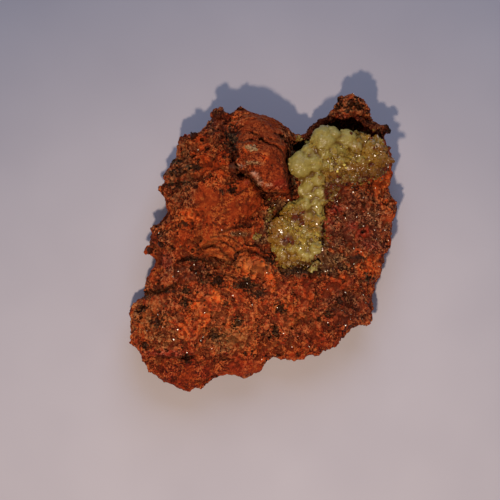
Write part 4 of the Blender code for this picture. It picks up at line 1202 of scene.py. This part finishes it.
# %% [markdown]
# ## Adamite
#
# Clear adamite bends light strongly (its index of refraction is about 1.74) and is tinted by
# a trace of iron or copper, which takes the blue out of the light on its way through. That
# is Transmission, IOR and a Volume Absorption node. Fully clear crystals on dark rock would
# look as dark as the rock. The real ones hold fibres and fluid that scatter light, so each
# material is only partly clear. The ends of the fibres make the surface look like sugar,
# which is a Voronoi bump. Amber, stains and rust tint it where the attributes of the piece
# say so, and its hollows are painted darker with painted shade and its tops paler with a
# painted highlight.

# %% What adamite does to light
ADAMITE_IOR = 1.74
PASSED_ON = "#f9f100"  # of the light inside it: nearly all the red and green, and no blue
ABSORPTION = 1500.0  # per metre: a fifth of the blue is left after 1 mm
CLOUD_SIZE = 0.6 * MM  # of the pale and deep clouds inside it
PATCH_SIZE = 1.9 * MM  # of the parts with more brown in them
PATCH_COLOUR = "#8e6c20"
SUGAR_SIZE = 0.45 * MM  # of the bumps that the ends of its fibres make
SUGAR_HEIGHT = 0.08 * MM
# A tint is (attribute, colour, how much of it shows where the attribute is 1).
# The tint of the hollows is dust and painted shade, and the pale tint of the tops is a painted highlight; on
# the grains of the fringe both vary at random instead.
TINTS = (
    ("milky", "#d6bc5a", 0.5), ("amber", "#b87a1c", 0.6), ("paleness_and_top_light", "#f0e490", 0.35),
    ("stained", "#a05c18", 0.6), ("crease", "#70400c", 0.8), ("iron", "#6c2a04", 0.95),
)
print("blue left after 1 mm:", round(100 * math.exp(-ABSORPTION * MM)), "%")


# %% A material for each clearness of adamite
def adamite_material(name, clearness, roughness, gloss, bumpiness, pale, deep):
    """Adamite of one clearness. Its colour runs from pale to deep with noise."""
    made, tree, shader, place = new_material(name)
    cloud = add_node(
        tree, "ShaderNodeTexNoise",
        {"Vector": place, "Scale": 1 / CLOUD_SIZE, "Detail": 4.0, "Roughness": 0.75},
    )
    clouded = add_node(
        tree, "ShaderNodeValToRGB", {"Fac": cloud.outputs["Fac"]}, stops=[(0.38, deep), (0.62, pale)]
    )
    patch = add_node(tree, "ShaderNodeTexNoise", {"Vector": place, "Scale": 1 / PATCH_SIZE, "Detail": 2.0})
    patchiness = add_node(
        tree, "ShaderNodeMapRange",
        {"Value": patch.outputs["Fac"], "From Min": 0.5, "From Max": 0.7, "To Max": 0.6},
    )
    patched = add_node(
        tree, "ShaderNodeMix",
        {0: patchiness.outputs["Result"], 6: clouded.outputs["Color"], 7: linear(PATCH_COLOUR)},
        data_type="RGBA",
    )
    colour = patched.outputs[2]
    for attribute, tint, share in TINTS:
        strength = add_node(
            tree, "ShaderNodeMath", {0: read(tree, attribute), 1: share}, operation="MULTIPLY"
        )
        blend = add_node(
            tree, "ShaderNodeMix", {0: strength.outputs[0], 6: colour, 7: linear(tint)}, data_type="RGBA"
        )
        colour = blend.outputs[2]
    tree.links.new(colour, shader.inputs["Base Color"])
    shader.inputs["Roughness"].default_value = roughness
    shader.inputs["IOR"].default_value = ADAMITE_IOR
    shader.inputs["Specular IOR Level"].default_value = gloss
    shader.inputs["Transmission Weight"].default_value = clearness
    sugar = add_node(
        tree, "ShaderNodeTexVoronoi", {"Vector": place, "Scale": 1 / SUGAR_SIZE, "Detail": 1.0}
    )
    bump = add_node(
        tree, "ShaderNodeBump",
        {"Height": sugar.outputs["Distance"], "Strength": bumpiness, "Distance": SUGAR_HEIGHT},
    )
    tree.links.new(bump.outputs["Normal"], shader.inputs["Normal"])
    absorption = add_node(
        tree, "ShaderNodeVolumeAbsorption", {"Color": linear(PASSED_ON), "Density": ABSORPTION}
    )
    tree.links.new(absorption.outputs["Volume"], tree.nodes["Material Output"].inputs["Volume"])
    return made


print("it reads", ", ".join(attribute for attribute, _, _ in TINTS))

# %% The adamite materials, and onto the crust and its buds
# Milky: fibres and fluid scatter the light, so it looks like set honey, with a soft shine.
milky_adamite = adamite_material("adamite_milky", 0.25, 0.3, 0.14, 0.6, "#ccb44c", "#806014")
# Clear: more light goes through, so it is brighter and its colour is deeper.
clear_adamite = adamite_material("adamite_clear", 0.35, 0.3, 0.1, 0.3, "#f0d25a", "#a06c14")
# Flashing: a smooth face, which mirrors the lamp as a small white spot.
flashing_adamite = adamite_material("adamite_flashing", 0.45, 0.27, 0.5, 0.08, "#ecd060", "#d0a040")
# Glowing: the lamp shines back from inside the crystal, wider and as yellow as the crystal.
glowing_adamite = adamite_material("adamite_inner_flash", 0.2, 0.38, 0.45, 0.5, "#f4e070", "#e8cc50")
glow_shader = glowing_adamite.node_tree.nodes["Principled BSDF"]
glow_shader.inputs["Specular Tint"].default_value = linear("#ffee95")
# Dusty: rock dust lies on it, so it is tan, matt and hardly clear.
dusty_adamite = adamite_material("adamite_dusty", 0.05, 0.45, 0.1, 0.6, "#fcc484", "#6a381a")

for piece, node, material in (
    (crust, "adamite_crust", milky_adamite), (bud_south, "adamite_bud_south", milky_adamite),
    (bud_north, "adamite_bud_north", dusty_adamite),
):
    piece.data.materials.append(material)
    select_only(piece)
    bpy.ops.object.shade_smooth()
    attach(piece, "root")
    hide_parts(node)
    print(piece.name, "replaces", node)

# %% [markdown]
# ## Crystals of the druse
#
# On the clear parts of the crust single crystals stand out, short prisms with a flat top that
# grow every way. They are copies of the one that was modelled, scattered where the crust is
# neither milky nor rusty, each sunk a little into it.

# %% Small crystals on the clear parts
DRUSE_COUNT = 420
DRUSE_SIZES = (0.4, 0.85)  # millimetres
DRUSE_SUNK = 0.35  # of a crystal's size that is inside the crust

crust_values = {finish: np.zeros(len(crust.data.vertices), np.float32) for finish in CRUST_FINISHES}
for finish, values in crust_values.items():
    crust.data.attributes[finish].data.foreach_get("value", values)
upward_crust = np.clip(normals_of(crust)[:, 2] + 0.2, 0, 1)
clear_crust = upward_crust * np.clip(1 - crust_values["milky"] - crust_values["iron"], 0, 1)
places, normals, under = scatter(crust, DRUSE_COUNT, clear_crust, dice)
sizes = dice.uniform(*DRUSE_SIZES, DRUSE_COUNT) * MM
places = places - normals * (DRUSE_SUNK * sizes)[:, None]
axes = unit(normals + 0.35 * dice.normal(size=(DRUSE_COUNT, 3)))
stretches = dice.uniform(0.6, 1.2, (DRUSE_COUNT, 3))
turns = dice.uniform(0, math.tau, DRUSE_COUNT)
tints = {finish: values[under] for finish, values in crust_values.items()}
druse = joined_copies("adamite_druse", CRYSTAL_MODEL, places, axes, sizes, stretches, turns, tints)
print("clear part of the crust:", round(100 * clear_crust.mean()), "%")

# %% [markdown]
# ## Crystals that flash and crystals that glow
#
# A few crystals happen to have a face turned to the lamp, and those flash white. Others send
# its light back from inside, as a soft yellow glow. Left to chance, hardly any of the copies
# would do so. A mirror sends a lamp's light to the eye when it faces halfway between the
# two, so that is the way these are turned. The large ones have their own places, and tiny
# ones are scattered over the sparkling parts of the rock and over the clear crust.

# %% Turned to the lamp
def facing_lamp(places):
    """At each place, the way a face points to send the key lamp's light into the camera."""
    to_lamp = unit(np.array(key_lamp.location) - places)
    to_camera = unit(np.array(camera.location) - places)
    return unit(to_lamp + to_camera)


def surface_under(x, y):
    """The highest point of the specimen at a place seen from above, in metres."""
    spots = [spot_under(host, x, y) for host in (rock, crust, bud_south, bud_north)]
    return max((spot for spot in spots if spot is not None), key=lambda spot: spot.z)


def turned_crystals(name, places, sizes, sunk, stretch_range):
    """Crystals at the places with their flat tops turned to the lamp."""
    count = len(places)
    axes = facing_lamp(places)
    places = places - axes * (sunk * sizes)[:, None]
    stretches = dice.uniform(*stretch_range, (count, 3))
    turns = dice.uniform(0, math.tau, count)
    return joined_copies(name, CRYSTAL_MODEL, places, axes, sizes, stretches, turns, {})


print("at the frame's zero they face", [round(float(c), 2) for c in facing_lamp(np.zeros((1, 3)))[0]])

# %% Flashing crystals, as (x, y, width of the flash in millimetres)
FLASH_SHARE = 0.5  # a flash looks twice as wide as the crystal that it comes from
GLINT_COUNT = 200
GLINT_SIZES = (0.05, 0.15)  # millimetres
FLASHES = [
    (3.3, 1.8, 0.7), (10.3, 6.8, 0.5), (16.1, 14.6, 0.5), (21.3, 17.5, 0.55), (21.9, 16.9, 0.7),
    (22.3, 16.5, 0.45), (21.4, 16.9, 0.35), (2.9, 2.2, 0.4), (17.7, 9.8, 0.4), (12.1, -6.0, 0.4),
    (7.1, -1.4, 0.4), (1.7, -1.0, 0.3), (22.1, 10.6, 0.3), (16.1, 4.6, 0.3), (19.7, 3.0, 0.25),
    (9.1, 9.0, 0.4), (14.5, 14.2, 0.35), (4.7, 8.2, 0.3), (6.7, 2.6, 0.4), (5.9, 3.2, 0.3),
    (10.3, 3.4, 0.45), (17.4, 14.4, 0.3), (-11.1, 12.6, 0.25), (-6.3, -10.8, 0.3),
    (-11.9, -14.2, 0.3), (-17.3, -17.6, 0.3), (-18.1, -19.6, 0.3), (-15.5, -22.2, 0.25),
    (-10.5, -21.4, 0.25), (-21.3, -14.6, 0.25), (-8.5, 2.2, 0.2), (-3.5, -8.4, 0.25),
    (11.5, -1.8, 0.3), (16.1, -10.2, 0.25),
]

sparkling = np.clip(rock_values["plum"] + rock_values["olive"] + 0.12 * granular, 0, 1)
rock_glints, _, _ = scatter(rock, GLINT_COUNT // 2, sparkling * upward * off_floor, dice)
crust_glints, _, _ = scatter(crust, GLINT_COUNT - GLINT_COUNT // 2, clear_crust, dice)
flash_spots = np.array([surface_under(x, y) for x, y, _ in FLASHES])
flash_sizes = FLASH_SHARE * np.array([width for _, _, width in FLASHES])
glint_sizes = dice.uniform(*GLINT_SIZES, GLINT_COUNT)
flashing = turned_crystals(
    "flashing_crystals", np.concatenate((flash_spots, rock_glints, crust_glints)),
    np.concatenate((flash_sizes, glint_sizes)) * MM, 0.25, (0.7, 1.5),
)
print(len(FLASHES), "crystals flash and", GLINT_COUNT, "glint")

# %% Glowing crystals, as (x, y, width of the glow in millimetres)
GLOWS = [
    (16.2, 14.6, 1.5), (15.8, 15.2, 0.9), (14.4, 13.9, 0.7), (16.9, 15.8, 0.5), (20.8, 16.0, 0.5),
    (7.4, 3.0, 0.4), (13.0, 14.9, 0.5), (17.6, 13.6, 0.4),
]

glow_spots = np.array([surface_under(x, y) for x, y, _ in GLOWS])
glow_sizes = FLASH_SHARE * np.array([width for _, _, width in GLOWS]) * MM
glowing = turned_crystals("glowing_crystals", glow_spots, glow_sizes, 0.2, (0.6, 1.6))
print(len(GLOWS), "crystals glow")

# %% [markdown]
# ## Loose grains round the crust
#
# The crust has no clean edge. It ends in a fringe of broken crystals among the grains of the
# rock, some amber, some rusty, some dirty. On the slab beside it lie grains of adamite under
# a film of dust, and small heaps of rust have settled on the crust itself. One thin skin
# could not break up like that, so all three are grains again, tumbled every way.

# %% A fringe of broken crystals
# A fringe is an oval, as (x, y, reach along x, reach along y, count, how amber, how rusty).
FRINGES = [
    (6.9, 20.4, 0.8, 0.7, 26, 0.7, 0.1), (-1.6, 0.9, 1.0, 0.7, 26, 0.4, 0.0),
    (16.5, 12.4, 4.6, 1.3, 150, 0.8, 0.45), (13.4, 9.6, 1.2, 2.6, 70, 0.8, 0.6),
    (22.2, 13.4, 2.2, 1.0, 60, 0.9, 0.5), (11.8, 1.0, 1.0, 3.6, 60, 0.7, 0.6),
    (1.2, 4.8, 1.0, 2.8, 60, 0.8, 0.4), (6.8, -4.6, 4.6, 1.0, 100, 0.7, 0.5),
    (19.0, 21.8, 3.2, 0.8, 50, 0.7, 0.6),
]


def tumbled_grains(name, places, size_range, values):
    """Grains at the places, turned every way, with sizes in millimetres."""
    count = len(places)
    axes = unit(dice.normal(size=(count, 3)))
    sizes = dice.uniform(*size_range, count) * MM
    stretches = dice.uniform(0.7, 1.2, (count, 3))
    turns = dice.uniform(0, math.tau, count)
    return joined_copies(name, GRAIN_MODEL, places, axes, sizes, stretches, turns, values)


fringe_spots = []
fringe_tints = {"amber": [], "iron": [], "crease": [], "paleness_and_top_light": []}
for x, y, reach_x, reach_y, count, amber, rusty in FRINGES:
    spread = dice.normal(size=(count, 2)) * 0.5
    fringe_spots += [surface_under(x + reach_x * right, y + reach_y * up) for right, up in spread]
    fringe_tints["amber"] += list(amber * dice.uniform(0.4, 1.0, count))
    fringe_tints["iron"] += list(np.clip(rusty * dice.uniform(0.0, 2.0, count), 0, 1))
    fringe_tints["crease"] += list(dice.uniform(0, 1.0, count) ** 2)
    fringe_tints["paleness_and_top_light"] += list(dice.uniform(0, 2.0, count) ** 2 / 2)
fringe_tints = {tint: np.array(numbers) for tint, numbers in fringe_tints.items()}
fringe = tumbled_grains("adamite_fringe", np.array(fringe_spots), (0.35, 0.75), fringe_tints)
print(len(fringe_spots), "grains in the fringe")

# %% Dusty grains on the slab
# As (x, y, reach along x, reach along y, count).
DUSTY_GRAINS = [(-2.9, 18.3, 1.5, 0.9, 40), (-2.5, 15.3, 1.6, 0.5, 14)]

dusty_spots = []
for x, y, reach_x, reach_y, count in DUSTY_GRAINS:
    spread = dice.uniform(-0.7, 0.7, (count, 2))
    dusty_spots += [surface_under(x + reach_x * right, y + reach_y * up) for right, up in spread]
dusty = tumbled_grains("adamite_dusty_grains", np.array(dusty_spots), (0.25, 0.5), {})
print(len(dusty_spots), "dusty grains")

# %% Rust on the crust
RUST_GRAIN_COUNT = 800
RUST_CLOUD_SIZE = 0.5 * MM
RUST_ROUGHNESS = 0.8  # a powder, so nothing shines in it

heaps = np.clip(crust_values["iron"] - 0.3, 0, 1) ** 2 + 0.025 * crust_values["stained"]
rust_spots, _, _ = scatter(crust, RUST_GRAIN_COUNT, heaps, dice)
rust = tumbled_grains("rust_on_adamite", rust_spots, (0.2, 0.5), {})
# Iron rust: a matt powder of dark and red-brown grains.
iron_rust, tree, shader, place = new_material("iron_rust")
cloud = add_node(tree, "ShaderNodeTexNoise", {"Vector": place, "Scale": 1 / RUST_CLOUD_SIZE, "Detail": 2.0})
shade = add_node(
    tree, "ShaderNodeValToRGB", {"Fac": cloud.outputs["Fac"]}, stops=[(0.35, "#280c05"), (0.65, "#8c3612")]
)
tree.links.new(shade.outputs["Color"], shader.inputs["Base Color"])
shader.inputs["Roughness"].default_value = RUST_ROUGHNESS
print(RUST_GRAIN_COUNT, "grains of rust")

# %% Materials of the crystals and grains
for piece, material in (
    (druse, clear_adamite), (flashing, flashing_adamite), (fringe, clear_adamite),
    (glowing, glowing_adamite), (dusty, dusty_adamite), (rust, iron_rust),
):
    piece.data.materials.append(material)
    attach(piece, "root")
    print(piece.name, triangle_count(piece), "triangles")

# %% [markdown]
# ## A lighter lump
#
# The lump was kept dense while grains and crystals were set on it. Its flattest points add
# nothing to its look, so a Decimate modifier now takes them out, down to the number of
# triangles that one piece may have.

# %% Fewer triangles on the lump
LUMP_TRIANGLES = 195_000

apply_modifier(rock, "DECIMATE", ratio=LUMP_TRIANGLES / triangle_count(rock))
print("lump now", triangle_count(rock), "triangles")
